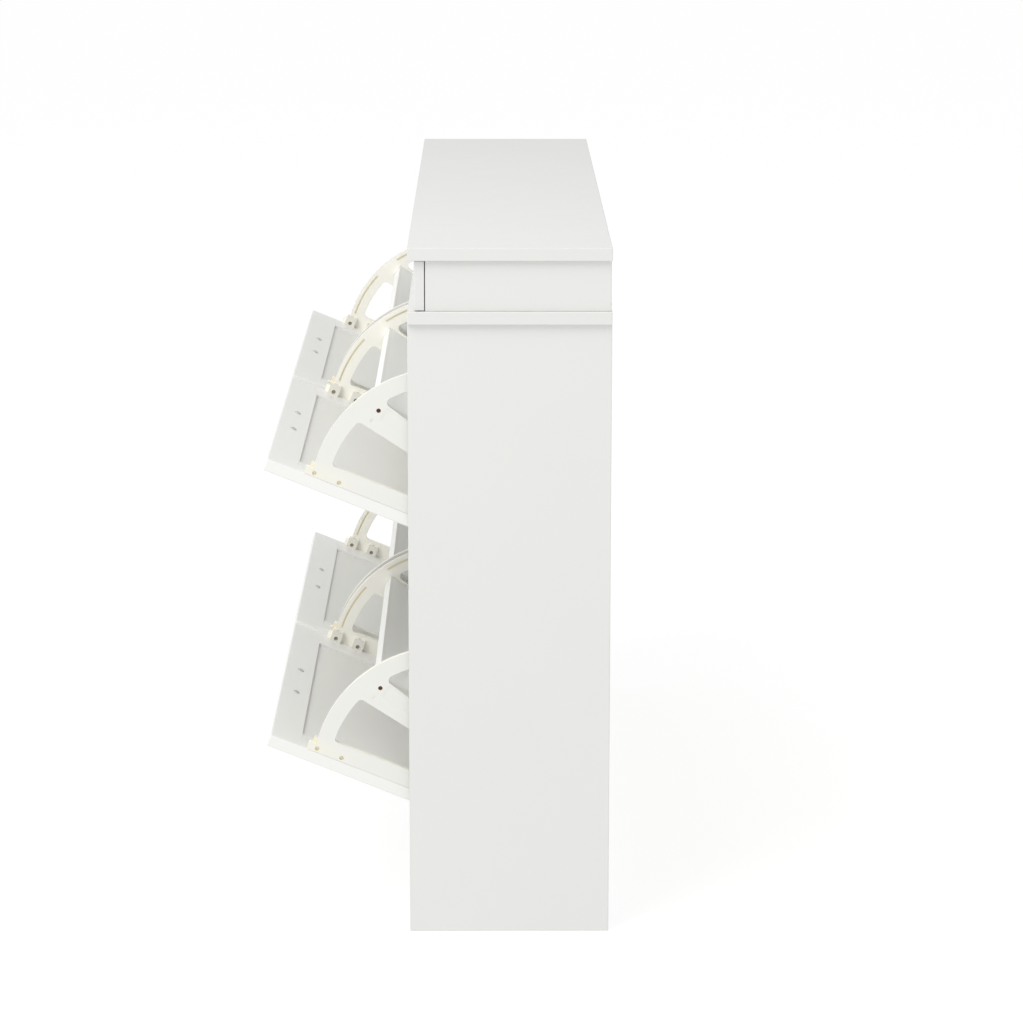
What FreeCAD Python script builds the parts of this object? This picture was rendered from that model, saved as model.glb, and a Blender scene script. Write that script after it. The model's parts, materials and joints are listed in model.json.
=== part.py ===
import FreeCAD, Part
import math
import os
from FreeCAD import Placement, Rotation, Vector

# Shoe cabinet with four tilt-out flaps and two shallow drawers.
# +X is the long side, the flaps face -Y, +Z is up.
# The origin is on the floor, under the middle of the cabinet.
# The flaps are modelled open, resting on their stops; the drawers are closed.

# --- Carcass ---
WIDTH = 1200.0  # over the top board, end to end
DEPTH = 240.0  # boards and lower side panels, front to back
HEIGHT = 833.0  # floor to the top surface
BOARD = 15.0  # thickness of every structural board
BOARD_OVERHANG = 5.0  # top and drawer boards past the side panels
BOARD_EASE = 0.8  # eased edges of the boards
PAST = 1.0  # how far a cut runs past the face that it opens
DRAWER_OPENING = 60.0  # clear height of the drawer section
UPPER_REAR_SETBACK = 1.0  # upper sides in front of the back of the boards
KICK_HEIGHT = 46.0  # floor to the underside of the bottom board
KICK_SETBACK = 20.0  # kick board behind the front
BACK_THICKNESS = 3.0  # hardboard back
BACK_SINK = 1.0  # back panel ahead of the side panels' rear edges
BACK_REBATE = 7.0  # how far the back laps into the side panels

# --- Flap doors ---
OPEN_ANGLE = 68.1  # degrees from closed to open
DOOR_THICKNESS = 15.0
DOOR_SIDE_GAP = 2.0  # door to side panel or divider
DOOR_TOP_GAP = 2.0  # upper door to drawer board
SWING_CLEARANCE = 1.25  # swinging door corner over the bottom board
SPLIT_CLEARANCE = 0.5  # swinging door corner over the door below
PIVOT_BEHIND_DOOR = 28.5  # pivot axis behind the door's inner face
PIVOT_ABOVE_DOOR_FOOT = 118.0  # pivot axis above the door's bottom edge
STILE_WIDTH = 55.0
RAIL_WIDTH = 38.0
RAIL_LAP = 23.0  # rail half-lapped over a stile, on the inner side
PANEL_THICKNESS = 6.0
PANEL_RECESS = 3.5  # panel below the inner face of the frame
PANEL_TONGUE = 8.0  # panel edge held in the frame
DOOR_EASE = 1.5  # eased outer edges of a door
JOINT_EASE = 0.4  # eased edges where stiles and rails meet
SHELF_EASE = 0.8
SMALL_EASE = 0.5  # eased edges of drawer parts

# --- Flap brackets ---
BRACKET_THICKNESS = 9.0
BAND_WIDTH = 19.6  # width of the curved band
ARC_TO_DOOR_TOP = 53.7  # least distance from the band to the door's top edge
ARC_TO_BACK = 20.0  # least distance from the band to the back panel
FOOT_WIDTH = 20.0  # bar along the door
FOOT_NOSE = 7.7  # bar past the band
FOOT_NOSE_WIDTH = 9.5
FOOT_BELOW_PIVOT = 62.0
REAR_BAR_ANGLE = 12.0  # degrees above level when closed
SEAT_WALL = 2.3  # wall beside a shelf seat in the rear bar
HUB_RADIUS = 15.0
HUB_WEB = 26.0  # solid web above the rear bar's centre line
GROOVE_DEPTH = 1.5
GROOVE_WIDTH = 2.6
RIM_WIDTH = 5.0  # rib outside the groove of the band
WINDOW_ROUND = 6.0
OUTLINE_ROUND = 2.5
BOSS_SIZE = 15.0
BOSS_ROUND = 1.0
BOSS_HEIGHT = 8.0  # boss past the inner face of the bracket
BOSS_INSET = 4.3  # first boss inside the band's outer radius
BOSS_PITCH = 31.5
BOSS_HOLE_RADIUS = 2.7
BOSS_HOLE_DEPTH = 3.0  # from the outer face
BOSS_EYE_DEPTH = 1.8  # from the face towards the flap's middle
BOSS_HOLE_FROM_DOOR = 4.4
LOW_BOSS_BELOW_PIVOT = 50.0

# --- Shelves between the brackets ---
SHELF_THICKNESS = 15.0
SHELF_SEAT = 3.0  # shelf end sunk in the bracket
SHELF_FIT = 0.2  # clearance round a shelf end
SHELF_SCREW_INSET = 25.5  # from the band's outer radius to the screw
SHELF_SCREW_ANGLE = 57.0  # degrees above level when closed
SHELF_LEAN = 11.0  # degrees from upright when closed
SHELF_ABOVE_SCREW = 7.0
STRUT_SKIRT = 16.0  # strut past the shelf seat, on the door's side
STRUT_WALL = 3.7  # strut past the shelf seat, on the rear side
STRUT_TAPER = 5.0  # degrees between the two strut edges
DIMPLE_RADIUS = 2.4  # round mark in the strut
DIMPLE_DEPTH = 0.8
DIMPLE_ABOVE_EDGE = 9.6
BAND_MARK_DEPTH = 0.4  # shallow sinking outside each shelf
BAND_MARK_START = 7.0  # below the screw
BAND_MARK_ROUND = 1.5
REAR_SHELF_DOOR_GAP = 1.0
REAR_SHELF_END_INSET = 9.0  # inside the band's outer radius

# --- Pivots and stops ---
PIN_RADIUS = 4.0
PIN_CLEARANCE = 0.05  # radial, pin in the bracket
PIN_SKIN = 5.0  # board left behind a pin
PIN_END_GAP = 0.6  # pin end short of the shelf seat
PEG_RADIUS = 4.0
PEG_ORBIT = 30.0  # stop peg from the pivot
PEG_REACH = 7.0  # peg beside the bracket
STOP_GAP = 0.3  # peg to the bracket at either end of the swing
STOP_PAD_LENGTH = 16.0

# --- Handles and screws ---
HANDLE_SPACING = 110.0
HANDLE_BELOW_TOP = 20.0
HANDLE_RADIUS = 4.5
HANDLE_PROJECTION = 27.0  # door face to the bar's centre line
HANDLE_BEND = 12.0
HANDLE_THREAD_DEPTH = 9.0
SCREW_RADIUS = 2.0
SCREW_HEAD_RADIUS = 4.0
SCREW_HEAD_HEIGHT = 2.2
WOOD_SCREW_RADIUS = 1.8
WOOD_SCREW_HEAD_RADIUS = 3.4
WOOD_SCREW_LENGTH = 22.0  # into the end of a shelf
BOSS_SCREW_LENGTH = 9.0  # into the door
SUNK_HEAD_RADIUS = 2.6
SCREW_SINK = 2.4  # head below the bracket's face
SCREW_SINK_FIT = 0.15
REAR_SHELF_SCREWS = (0.4, 0.8)  # shares of the rear shelf, out from the pivot

# --- Drawers ---
DRAWER_FRONT_THICKNESS = 12.0
DRAWER_FRONT_SETBACK = 8.0
DRAWER_FRONT_GAP = 1.0  # above and below the front
DRAWER_FRONT_REST = 1.0  # front ahead of the upper sides
DRAWER_MEETING_GAP = 3.0  # between the two fronts
DRAWER_WALL = 12.0
DRAWER_SIDE_GAP = 2.0
DRAWER_LIFT = 6.0  # drawer side over the drawer board
DRAWER_SIDE_HEIGHT = 42.0
DRAWER_BOTTOM_THICKNESS = 4.0
DRAWER_BOTTOM_UP = 4.0  # groove above the side's lower edge
DRAWER_GROOVE = 5.0
DRAWER_REAR_GAP = 20.0  # drawer back to back panel
RUNNER_THICKNESS = 8.0
RUNNER_HEIGHT = 10.0
RUNNER_FIT = 0.5
RUNNER_SCREWS = (0.2, 0.8)  # shares of the runner, from the front
RUNNER_SCREW_BITE = 6.0  # into the side panel or divider
DRAWER_STOP_RADIUS = 4.0
DRAWER_STOP_SKIN = 7.0  # board left above a peg
DRAWER_STOP_BITE = 4.0  # peg over the face of the drawer back
DRAWER_STOP_ROOM = 2.5  # peg over the drawer sides
DRAWER_STOP_SPREAD = 300.0
DRAWER_STOP_FROM_FRONT = 25.7  # peg behind the closed drawer's front
NOTCH_WIDTH = 90.0
NOTCH_DEPTH = 14.0

# --- Knock-down fittings ---
CAM_RADIUS = 7.5
CAM_SKIN = 3.0  # board left behind a cam
CAM_SLOT_SHARE = 1.1  # slot length, of the cam's radius
CAM_SLOT_WIDTH = 1.4
CAM_SLOT_DEPTH = 1.6
CAM_INSET = 28.0  # cam centre from the joint
CAM_FROM_EDGE = 45.0  # from the front or back edge
DOWEL_RADIUS = 4.0
DOWEL_LENGTH = 24.0
DOWEL_SKIN = 3.0  # board left behind a dowel
DOWEL_FROM_CAM = 32.0
CENTRE_FOOT_RADIUS = 20.0
CENTRE_FOOT_STEM_RADIUS = 10.0
CENTRE_FOOT_PAD = 8.0
CENTRE_FOOT_EASE = 1.5

# --- Worked out from the values above ---
FRONT = -DEPTH / 2.0
REAR = DEPTH / 2.0
SIDE_OUTER = WIDTH / 2.0 - BOARD_OVERHANG
SIDE_INNER = SIDE_OUTER - BOARD
DIVIDER_HALF = BOARD / 2.0
TOP_UNDER = HEIGHT - BOARD
DRAWER_FLOOR = TOP_UNDER - DRAWER_OPENING
BAY_TOP = DRAWER_FLOOR - BOARD
BAY_FLOOR = KICK_HEIGHT + BOARD
BACK_REAR = REAR - BACK_SINK
BACK_FACE = BACK_REAR - BACK_THICKNESS
DRAWER_FACE = FRONT + DRAWER_FRONT_SETBACK
DRAWER_BOX_FRONT = DRAWER_FACE + DRAWER_FRONT_THICKNESS
UPPER_FRONT = DRAWER_BOX_FRONT + DRAWER_FRONT_REST
UPPER_REAR = REAR - UPPER_REAR_SETBACK
UPPER_BACK_FACE = UPPER_REAR - BACK_THICKNESS
PIN_DEPTH = BOARD - PIN_SKIN
CAM_DEPTH = BOARD - CAM_SKIN

PIVOT_Y = FRONT + DOOR_THICKNESS + PIVOT_BEHIND_DOOR
DOOR_BACK = -PIVOT_BEHIND_DOOR
DOOR_FACE = DOOR_BACK - DOOR_THICKNESS
CORNER_ORBIT = math.hypot(PIVOT_ABOVE_DOOR_FOOT, DOOR_FACE)
DOOR_BOTTOM_GAP = CORNER_ORBIT - PIVOT_ABOVE_DOOR_FOOT + SWING_CLEARANCE
SPLIT_DIP = math.sqrt(CORNER_ORBIT**2 - DOOR_BACK**2) - PIVOT_ABOVE_DOOR_FOOT
DOOR_SPLIT_GAP = SPLIT_DIP + SPLIT_CLEARANCE
BAY_HEIGHT = BAY_TOP - BAY_FLOOR
DOOR_HEIGHT = (BAY_HEIGHT - DOOR_TOP_GAP - DOOR_SPLIT_GAP - DOOR_BOTTOM_GAP) / 2.0
DOOR_FOOT = -PIVOT_ABOVE_DOOR_FOOT
DOOR_TOP = DOOR_FOOT + DOOR_HEIGHT
LOWER_PIVOT = BAY_FLOOR + DOOR_BOTTOM_GAP + PIVOT_ABOVE_DOOR_FOOT
UPPER_PIVOT = LOWER_PIVOT + DOOR_HEIGHT + DOOR_SPLIT_GAP
DOOR_INNER_END = DIVIDER_HALF + DOOR_SIDE_GAP
DOOR_OUTER_END = SIDE_INNER - DOOR_SIDE_GAP

ARC_RADIUS = min(DOOR_TOP - ARC_TO_DOOR_TOP, BACK_FACE - PIVOT_Y - ARC_TO_BACK)
BAND_INNER = ARC_RADIUS - BAND_WIDTH
FOOT_EDGE = DOOR_BACK + FOOT_WIDTH
SEAT_HALF = SHELF_THICKNESS / 2.0 + SHELF_FIT
REAR_BAR_HALF = SEAT_HALF + SEAT_WALL
STRUT_BELOW_SHELF = SEAT_HALF + STRUT_SKIRT
STRUT_ABOVE_SHELF = SEAT_HALF + STRUT_WALL
BOSS_HEIGHTS = (
    ARC_RADIUS - BOSS_INSET,
    ARC_RADIUS - BOSS_INSET - BOSS_PITCH,
    -LOW_BOSS_BELOW_PIVOT,
)

ROWS = {"upper": UPPER_PIVOT, "lower": LOWER_PIVOT}
COLUMNS = {
    "left": (-DOOR_OUTER_END, -DOOR_INNER_END),
    "right": (DOOR_INNER_END, DOOR_OUTER_END),
}
X_AXIS = Vector(1, 0, 0)
FLAT_TO_SIDE = Rotation(Vector(0, 1, 0), Vector(0, 0, 1), Vector(1, 0, 0), "XYZ")

nodes = {}


# --- Helpers ---
def block(x0, x1, y0, y1, z0, z1):
    """Box between two corners."""
    return Part.makeBox(x1 - x0, y1 - y0, z1 - z0, Vector(x0, y0, z0))


def eased(solid, radius):
    """Solid with every edge rounded."""
    return solid.makeFillet(radius, solid.Edges)


def board(x0, x1, y0, y1, z0, z1):
    """Board with eased edges."""
    return eased(block(x0, x1, y0, y1, z0, z1), BOARD_EASE)


def rod(radius, start, end):
    """Round bar from one point to another."""
    span = end - start
    return Part.makeCylinder(radius, span.Length, start, span)


def group(solids):
    """Separate solids kept in one node."""
    return Part.makeCompound(solids)


def polygon(points):
    """Flat face through points in the working plane."""
    corners = [Vector(p[0], p[1], 0) for p in points]
    return Part.Face(Part.makePolygon(corners + corners[:1]))


def rectangle(x0, x1, y0, y1):
    """Flat upright rectangle in the working plane."""
    return polygon([(x0, y0), (x1, y0), (x1, y1), (x0, y1)])


def disc(radius, x=0.0, y=0.0):
    """Flat disc in the working plane."""
    circle = Part.Circle(Vector(x, y, 0), Vector(0, 0, 1), radius)
    return Part.Face(Part.Wire(circle.toShape()))


def strip(origin, direction, low, high, start, end):
    """Flat strip along a direction, from low to high across it."""
    along = Vector(math.cos(math.radians(direction)), math.sin(math.radians(direction)), 0)
    across = Vector(-along.y, along.x, 0)
    base = Vector(origin[0], origin[1], 0)
    corners = [(start, low), (end, low), (end, high), (start, high)]
    points = [base + along * a + across * b for a, b in corners]
    return polygon([(p.x, p.y) for p in points])


def rounded(shape, radius):
    """Face with its outer corners rounded."""
    shrunk = shape.Faces[0].makeOffset2D(-radius)
    return shrunk.makeOffset2D(radius).Faces[0]


def joined(faces):
    """One flat face from overlapping flat faces."""
    slabs = [face.extrude(Vector(0, 0, 1)) for face in faces]
    slab = slabs[0].multiFuse(slabs[1:]).removeSplitter()
    return min(slab.Faces, key=lambda face: face.CenterOfMass.z)


def raised(face, x0, x1):
    """Solid from a working-plane face, standing across the flap from x0 to x1."""
    solid = face.extrude(Vector(0, 0, x1 - x0))
    solid.Placement = Placement(Vector(x0, 0, 0), FLAT_TO_SIDE)
    return solid


def span(origin, inward, depth_a, depth_b):
    """Ordered x limits between two depths from a bracket's outer face."""
    return sorted((origin + inward * depth_a, origin + inward * depth_b))


def opened(shape, pivot_height):
    """Flap shape turned from closed to open and set on its pivot."""
    turned = shape.copy()
    turned.rotate(Vector(0, 0, 0), X_AXIS, OPEN_ANGLE)
    turned.translate(Vector(0, PIVOT_Y, pivot_height))
    return turned


def swung_point(y, z, pivot_height):
    """Open position of a point given in the closed flap."""
    angle = math.radians(OPEN_ANGLE)
    out_y = PIVOT_Y + y * math.cos(angle) - z * math.sin(angle)
    out_z = pivot_height + y * math.sin(angle) + z * math.cos(angle)
    return out_y, out_z


# --- Bracket outline, in a plane with x behind the pivot and y above it ---
def shelf_screw():
    """Centre of the screw in the end of the middle shelf."""
    radius = ARC_RADIUS - SHELF_SCREW_INSET
    angle = math.radians(SHELF_SCREW_ANGLE)
    return radius * math.cos(angle), radius * math.sin(angle)


def along_shelf(distance, across=0.0):
    """Point up the middle shelf from its screw, and across towards the rear."""
    lean = math.radians(SHELF_LEAN)
    x, y = shelf_screw()
    x += distance * math.sin(lean) + across * math.cos(lean)
    y += distance * math.cos(lean) - across * math.sin(lean)
    return x, y


def along_rear_bar(distance, across=0.0):
    """Point out along the rear bar, and across towards the middle shelf."""
    angle = math.radians(REAR_BAR_ANGLE)
    x = distance * math.cos(angle) - across * math.sin(angle)
    y = distance * math.sin(angle) + across * math.cos(angle)
    return x, y


def shelf_length_below_screw():
    """Middle shelf from its screw down to the rear shelf."""
    angle = math.radians(REAR_BAR_ANGLE)
    lean = math.radians(SHELF_LEAN)
    x, y = shelf_screw()
    height = y * math.cos(angle) - x * math.sin(angle)
    corner = SHELF_THICKNESS / 2.0 * math.sin(lean + angle)
    rest = height - SHELF_THICKNESS / 2.0 - SHELF_FIT - corner
    return rest / math.cos(lean + angle)


def shelf_section(fit=0.0):
    """Middle shelf seen from its end."""
    half = SHELF_THICKNESS / 2.0 + fit
    low = -shelf_length_below_screw() - fit
    high = SHELF_ABOVE_SCREW + fit
    return strip(shelf_screw(), 90.0 - SHELF_LEAN, -half, half, low, high)


def shelf_mark():
    """Shallow sinking in a bracket's outer face beside the middle shelf."""
    half = SHELF_THICKNESS / 2.0
    low = -shelf_length_below_screw()
    face = strip(shelf_screw(), 90.0 - SHELF_LEAN, -half, half, low, -BAND_MARK_START)
    return rounded(face, BAND_MARK_ROUND)


def rear_shelf_section(fit=0.0):
    """Rear shelf seen from its end."""
    half = SHELF_THICKNESS / 2.0 + fit
    angle = math.radians(REAR_BAR_ANGLE)
    low = (DOOR_BACK + REAR_SHELF_DOOR_GAP + half * math.sin(angle)) / math.cos(angle)
    high = ARC_RADIUS - REAR_SHELF_END_INSET
    return strip((0, 0), REAR_BAR_ANGLE, -half, half, low - fit, high + fit)


def far():
    """Length that reaches past the whole bracket."""
    return 3.0 * ARC_RADIUS


def above_rear_bar(offset):
    """Everything over a line parallel to the rear bar."""
    return strip((0, 0), REAR_BAR_ANGLE, offset, far(), -far(), far())


def behind(x0):
    """Everything behind an upright line."""
    return rectangle(x0, far(), -far(), far())


def beside_strut():
    """Everything on the door's side of the strut, and everything on its rear side."""
    before = strip(shelf_screw(), 90.0 - SHELF_LEAN, STRUT_BELOW_SHELF, far(), -far(), far())
    corner = along_shelf(0.0, STRUT_ABOVE_SHELF)
    after = strip(corner, 90.0 - SHELF_LEAN - STRUT_TAPER, -far(), 0.0, -far(), far())
    return before, after


def window_faces():
    """The two see-through windows of a bracket."""
    inner_disc = disc(BAND_INNER)
    before, after = beside_strut()
    front = inner_disc.common(behind(FOOT_EDGE)).common(before).common(above_rear_bar(HUB_WEB))
    rear = inner_disc.common(after).common(above_rear_bar(REAR_BAR_HALF))
    return [rounded(face, WINDOW_ROUND) for face in (front, rear)]


def stop_pads():
    """Pads that meet the stop peg when open and when closed."""
    half = STOP_PAD_LENGTH / 2.0
    open_pad = rectangle(
        FOOT_EDGE - PAST, -PEG_RADIUS - STOP_GAP, -PEG_ORBIT - half, -PEG_ORBIT + half
    )
    swing = math.radians(OPEN_ANGLE - 90.0 - REAR_BAR_ANGLE)
    along = PEG_ORBIT * math.cos(swing)
    depth = PEG_ORBIT * math.sin(swing) + PEG_RADIUS + STOP_GAP
    closed_pad = strip(
        (0, 0), REAR_BAR_ANGLE, depth, -REAR_BAR_HALF + PAST, along - half, along + half
    )
    return open_pad, closed_pad


def bracket_outline():
    """Whole outside of a bracket."""
    fan = disc(ARC_RADIUS).common(behind(DOOR_BACK)).common(above_rear_bar(-REAR_BAR_HALF))
    foot = rectangle(DOOR_BACK, FOOT_EDGE, -FOOT_BELOW_PIVOT, BAND_INNER)
    nose = rectangle(DOOR_BACK, DOOR_BACK + FOOT_NOSE_WIDTH, 0.0, ARC_RADIUS + FOOT_NOSE)
    whole = joined([fan, foot, nose, disc(HUB_RADIUS), *stop_pads()])
    return rounded(whole, OUTLINE_ROUND)


def band_grooves():
    """Narrow grooves in the curved band, on each side of the strut."""
    ring = disc(ARC_RADIUS - RIM_WIDTH).cut(disc(ARC_RADIUS - RIM_WIDTH - GROOVE_WIDTH))
    ring = ring.common(behind(FOOT_EDGE)).common(above_rear_bar(REAR_BAR_HALF))
    return [ring.common(side) for side in beside_strut()]


def boss(outer_x, inward, height):
    """Block on the foot that takes a screw into the door."""
    x0, x1 = span(outer_x, inward, BRACKET_THICKNESS / 2.0, BRACKET_THICKNESS + BOSS_HEIGHT)
    low = height - BOSS_SIZE / 2.0
    face = rectangle(DOOR_BACK, DOOR_BACK + BOSS_SIZE, low, low + BOSS_SIZE)
    return raised(rounded(face, BOSS_ROUND), x0, x1)


def bracket(outer_x, inward):
    """Fan-shaped flap bracket; inward is +1 or -1 along X."""

    def sunk(face, depth_a, depth_b):
        return raised(face, *span(outer_x, inward, depth_a, depth_b))

    outline = bracket_outline()
    for window in window_faces():
        outline = outline.cut(window)
    solid = sunk(outline, 0.0, BRACKET_THICKNESS)
    solid = solid.multiFuse([boss(outer_x, inward, height) for height in BOSS_HEIGHTS])
    seat = BRACKET_THICKNESS - SHELF_SEAT
    past = BRACKET_THICKNESS + PAST
    dimple = along_shelf(0.0, DIMPLE_ABOVE_EDGE - STRUT_BELOW_SHELF)
    cuts = [sunk(face, BRACKET_THICKNESS - GROOVE_DEPTH, past) for face in band_grooves()]
    cuts += [
        sunk(shelf_section(SHELF_FIT), seat, past),
        sunk(rear_shelf_section(SHELF_FIT), seat, past),
        sunk(shelf_mark(), -PAST, BAND_MARK_DEPTH),
        sunk(disc(DIMPLE_RADIUS, *dimple), -PAST, DIMPLE_DEPTH),
        sunk(disc(PIN_RADIUS + PIN_CLEARANCE), -PAST, past),
    ]
    for height in BOSS_HEIGHTS[:2]:
        hole = disc(BOSS_HOLE_RADIUS, DOOR_BACK + BOSS_HOLE_FROM_DOOR, height)
        cuts.append(sunk(hole, -PAST, BOSS_HOLE_DEPTH))
        cuts.append(sunk(hole, BRACKET_THICKNESS + BOSS_HEIGHT - BOSS_EYE_DEPTH, past + BOSS_HEIGHT))
    return solid.cut(cuts).removeSplitter()


# --- Screws of one flap ---
def end_screw_places():
    """Where screws enter the shelf ends, in the bracket's plane."""
    reach = ARC_RADIUS - REAR_SHELF_END_INSET
    return [shelf_screw()] + [along_rear_bar(share * reach) for share in REAR_SHELF_SCREWS]


def sunk_screw(face, along, tip, fit):
    """Screw with its head below a face; with a fit, the hole that its head needs."""
    start = face + along * (SCREW_SINK if fit == 0.0 else -PAST)
    end = face + along * (SCREW_SINK + SCREW_HEAD_HEIGHT)
    return rod(SUNK_HEAD_RADIUS + fit, start, end).fuse(rod(WOOD_SCREW_RADIUS, end, face + along * tip))


def end_screw(outer_x, inward, place, fit=0.0):
    """Sunk screw through a bracket into a shelf end; fit widens the head only."""
    y, z = place
    tip = BRACKET_THICKNESS + WOOD_SCREW_LENGTH
    return sunk_screw(Vector(outer_x, y, z), Vector(inward, 0, 0), tip, fit)


def boss_screw(outer_x, inward, height, fit=0.0):
    """Sunk screw through a bracket boss into the door; fit widens the head only."""
    x = outer_x + inward * (BRACKET_THICKNESS + BOSS_HEIGHT / 2.0)
    face = Vector(x, DOOR_BACK + BOSS_SIZE, height)
    return sunk_screw(face, Vector(0, -1, 0), BOSS_SIZE + BOSS_SCREW_LENGTH, fit)


def handle_screw(x):
    """Machine screw through the top rail into the handle."""
    z = DOOR_TOP - HANDLE_BELOW_TOP
    head = rod(SCREW_HEAD_RADIUS, Vector(x, DOOR_BACK + SCREW_HEAD_HEIGHT, z), Vector(x, DOOR_BACK, z))
    shaft = rod(SCREW_RADIUS, Vector(x, DOOR_BACK, z), Vector(x, DOOR_FACE - HANDLE_THREAD_DEPTH, z))
    return head.fuse(shaft)


def handle(centre_x):
    """Round bow handle on the outer face of a door."""
    z = DOOR_TOP - HANDLE_BELOW_TOP
    half = HANDLE_SPACING / 2.0
    out = DOOR_FACE - HANDLE_PROJECTION
    bend = HANDLE_BEND
    mid = bend * (1.0 - math.sqrt(0.5))
    points = [
        Vector(centre_x - half, DOOR_FACE, z),
        Vector(centre_x - half, out + bend, z),
        Vector(centre_x - half + mid, out + mid, z),
        Vector(centre_x - half + bend, out, z),
        Vector(centre_x + half - bend, out, z),
        Vector(centre_x + half - mid, out + mid, z),
        Vector(centre_x + half, out + bend, z),
        Vector(centre_x + half, DOOR_FACE, z),
    ]
    path = Part.Wire([
        Part.LineSegment(points[0], points[1]).toShape(),
        Part.Arc(points[1], points[2], points[3]).toShape(),
        Part.LineSegment(points[3], points[4]).toShape(),
        Part.Arc(points[4], points[5], points[6]).toShape(),
        Part.LineSegment(points[6], points[7]).toShape(),
    ])
    ring = Part.Wire(Part.Circle(points[0], Vector(0, 1, 0), HANDLE_RADIUS).toShape())
    return path.makePipeShell([ring], True, True)


# --- Doors ---
def door_frame(x0, x1):
    """Two stiles and two rails half-lapped over their inner side, grooved for the panel."""
    slab = eased(block(x0, x1, DOOR_FACE, DOOR_BACK, DOOR_FOOT, DOOR_TOP), DOOR_EASE)
    slab = slab.cut(door_panel(x0, x1))
    left = x0 + STILE_WIDTH
    right = x1 - STILE_WIDTH
    past = 2.0 * DOOR_EASE
    low = DOOR_FOOT - past
    high = DOOR_TOP + past
    lap_face = DOOR_BACK - DOOR_THICKNESS / 2.0
    bars = []
    laps = []
    for z0, z1 in ((low, DOOR_FOOT + RAIL_WIDTH), (DOOR_TOP - RAIL_WIDTH, high)):
        lap = block(left - RAIL_LAP, right + RAIL_LAP, lap_face, DOOR_BACK, z0, z1)
        rail = eased(block(left, right, DOOR_FACE, DOOR_BACK, z0, z1), JOINT_EASE)
        bars.append(rail.fuse(eased(lap, JOINT_EASE)))
        laps.append(lap)
    for x_low, x_high in ((x0 - past, left), (right, x1 + past)):
        stile = eased(block(x_low, x_high, DOOR_FACE, DOOR_BACK, low, high), JOINT_EASE)
        bars.append(stile.cut(laps))
    return [slab.common(bar).Solids[0] for bar in bars]


def door_panel(x0, x1):
    """Thin panel held in the frame's groove."""
    inset = STILE_WIDTH - PANEL_TONGUE
    rail_inset = RAIL_WIDTH - PANEL_TONGUE
    back = DOOR_BACK - PANEL_RECESS
    return block(
        x0 + inset, x1 - inset, back - PANEL_THICKNESS, back, DOOR_FOOT + rail_inset, DOOR_TOP - rail_inset
    )


def shelf(section, x0, x1):
    """Shelf seated in both brackets."""
    inset = BRACKET_THICKNESS - SHELF_SEAT + SHELF_FIT
    return eased(raised(section, x0 + inset, x1 - inset), SHELF_EASE)


def make_flap(name, pivot_height, x0, x1):
    """All nodes of one flap."""
    centre = (x0 + x1) / 2.0
    sides = {"left": (x0, 1), "right": (x1, -1)}
    screws = [handle_screw(centre - HANDLE_SPACING / 2.0), handle_screw(centre + HANDLE_SPACING / 2.0)]
    sinks = []
    for outer_x, inward in sides.values():
        for place in end_screw_places():
            screws.append(end_screw(outer_x, inward, place))
            sinks.append(end_screw(outer_x, inward, place, SCREW_SINK_FIT))
        for height in BOSS_HEIGHTS:
            screws.append(boss_screw(outer_x, inward, height))
            sinks.append(boss_screw(outer_x, inward, height, SCREW_SINK_FIT))
    frame = [bar.cut(screws) for bar in door_frame(x0, x1)]
    parts = {
        "door_frame": group(frame),
        "door_panel": door_panel(x0, x1),
        "middle_shelf": shelf(shelf_section(), x0, x1).cut(screws),
        "rear_shelf": shelf(rear_shelf_section(), x0, x1).cut(screws),
        "handle": handle(centre).cut(screws),
        "screws": group(screws),
    }
    for side, (outer_x, inward) in sides.items():
        parts["bracket_" + side] = bracket(outer_x, inward).cut(sinks + screws)
    for part, shape in parts.items():
        nodes[name + "_" + part] = opened(shape, pivot_height)


# --- Pivots and stops ---
def cross_pins(radius, y, z, reach):
    """Pins in both side panels and one through the divider."""
    left = rod(radius, Vector(-SIDE_INNER - PIN_DEPTH, y, z), Vector(-SIDE_INNER + reach, y, z))
    right = rod(radius, Vector(SIDE_INNER - reach, y, z), Vector(SIDE_INNER + PIN_DEPTH, y, z))
    middle = rod(radius, Vector(-DIVIDER_HALF - reach, y, z), Vector(DIVIDER_HALF + reach, y, z))
    return [left, middle, right]


def pivot_pins():
    """Pins that the brackets turn on."""
    reach = DOOR_SIDE_GAP + BRACKET_THICKNESS - SHELF_SEAT - PIN_END_GAP
    pins = []
    for height in ROWS.values():
        pins += cross_pins(PIN_RADIUS, PIVOT_Y, height, reach)
    return pins


def stop_pegs():
    """Pegs that hold the flaps open and closed."""
    pegs = []
    for height in ROWS.values():
        y, z = swung_point(0.0, -PEG_ORBIT, height)
        pegs += cross_pins(PEG_RADIUS, y, z, DOOR_SIDE_GAP + PEG_REACH)
    return pegs


# --- Knock-down fittings ---
def edge_rows():
    """Depth positions of the cams."""
    return (FRONT + CAM_FROM_EDGE, REAR - CAM_FROM_EDGE)


def cam_places():
    """Centre of each cam's open face and the way that it faces."""
    places = []
    for y in edge_rows():
        for side in (-1, 1):
            face = side * SIDE_INNER
            places.append((Vector(face, y, BAY_TOP - CAM_INSET), Vector(-side, 0, 0)))
            places.append((Vector(side * (SIDE_INNER - CAM_INSET), y, KICK_HEIGHT), Vector(0, 0, -1)))
        places.append((Vector(DIVIDER_HALF, y, BAY_TOP - CAM_INSET), Vector(1, 0, 0)))
        places.append((Vector(DIVIDER_HALF, y, BAY_FLOOR + CAM_INSET), Vector(1, 0, 0)))
    return places


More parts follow.
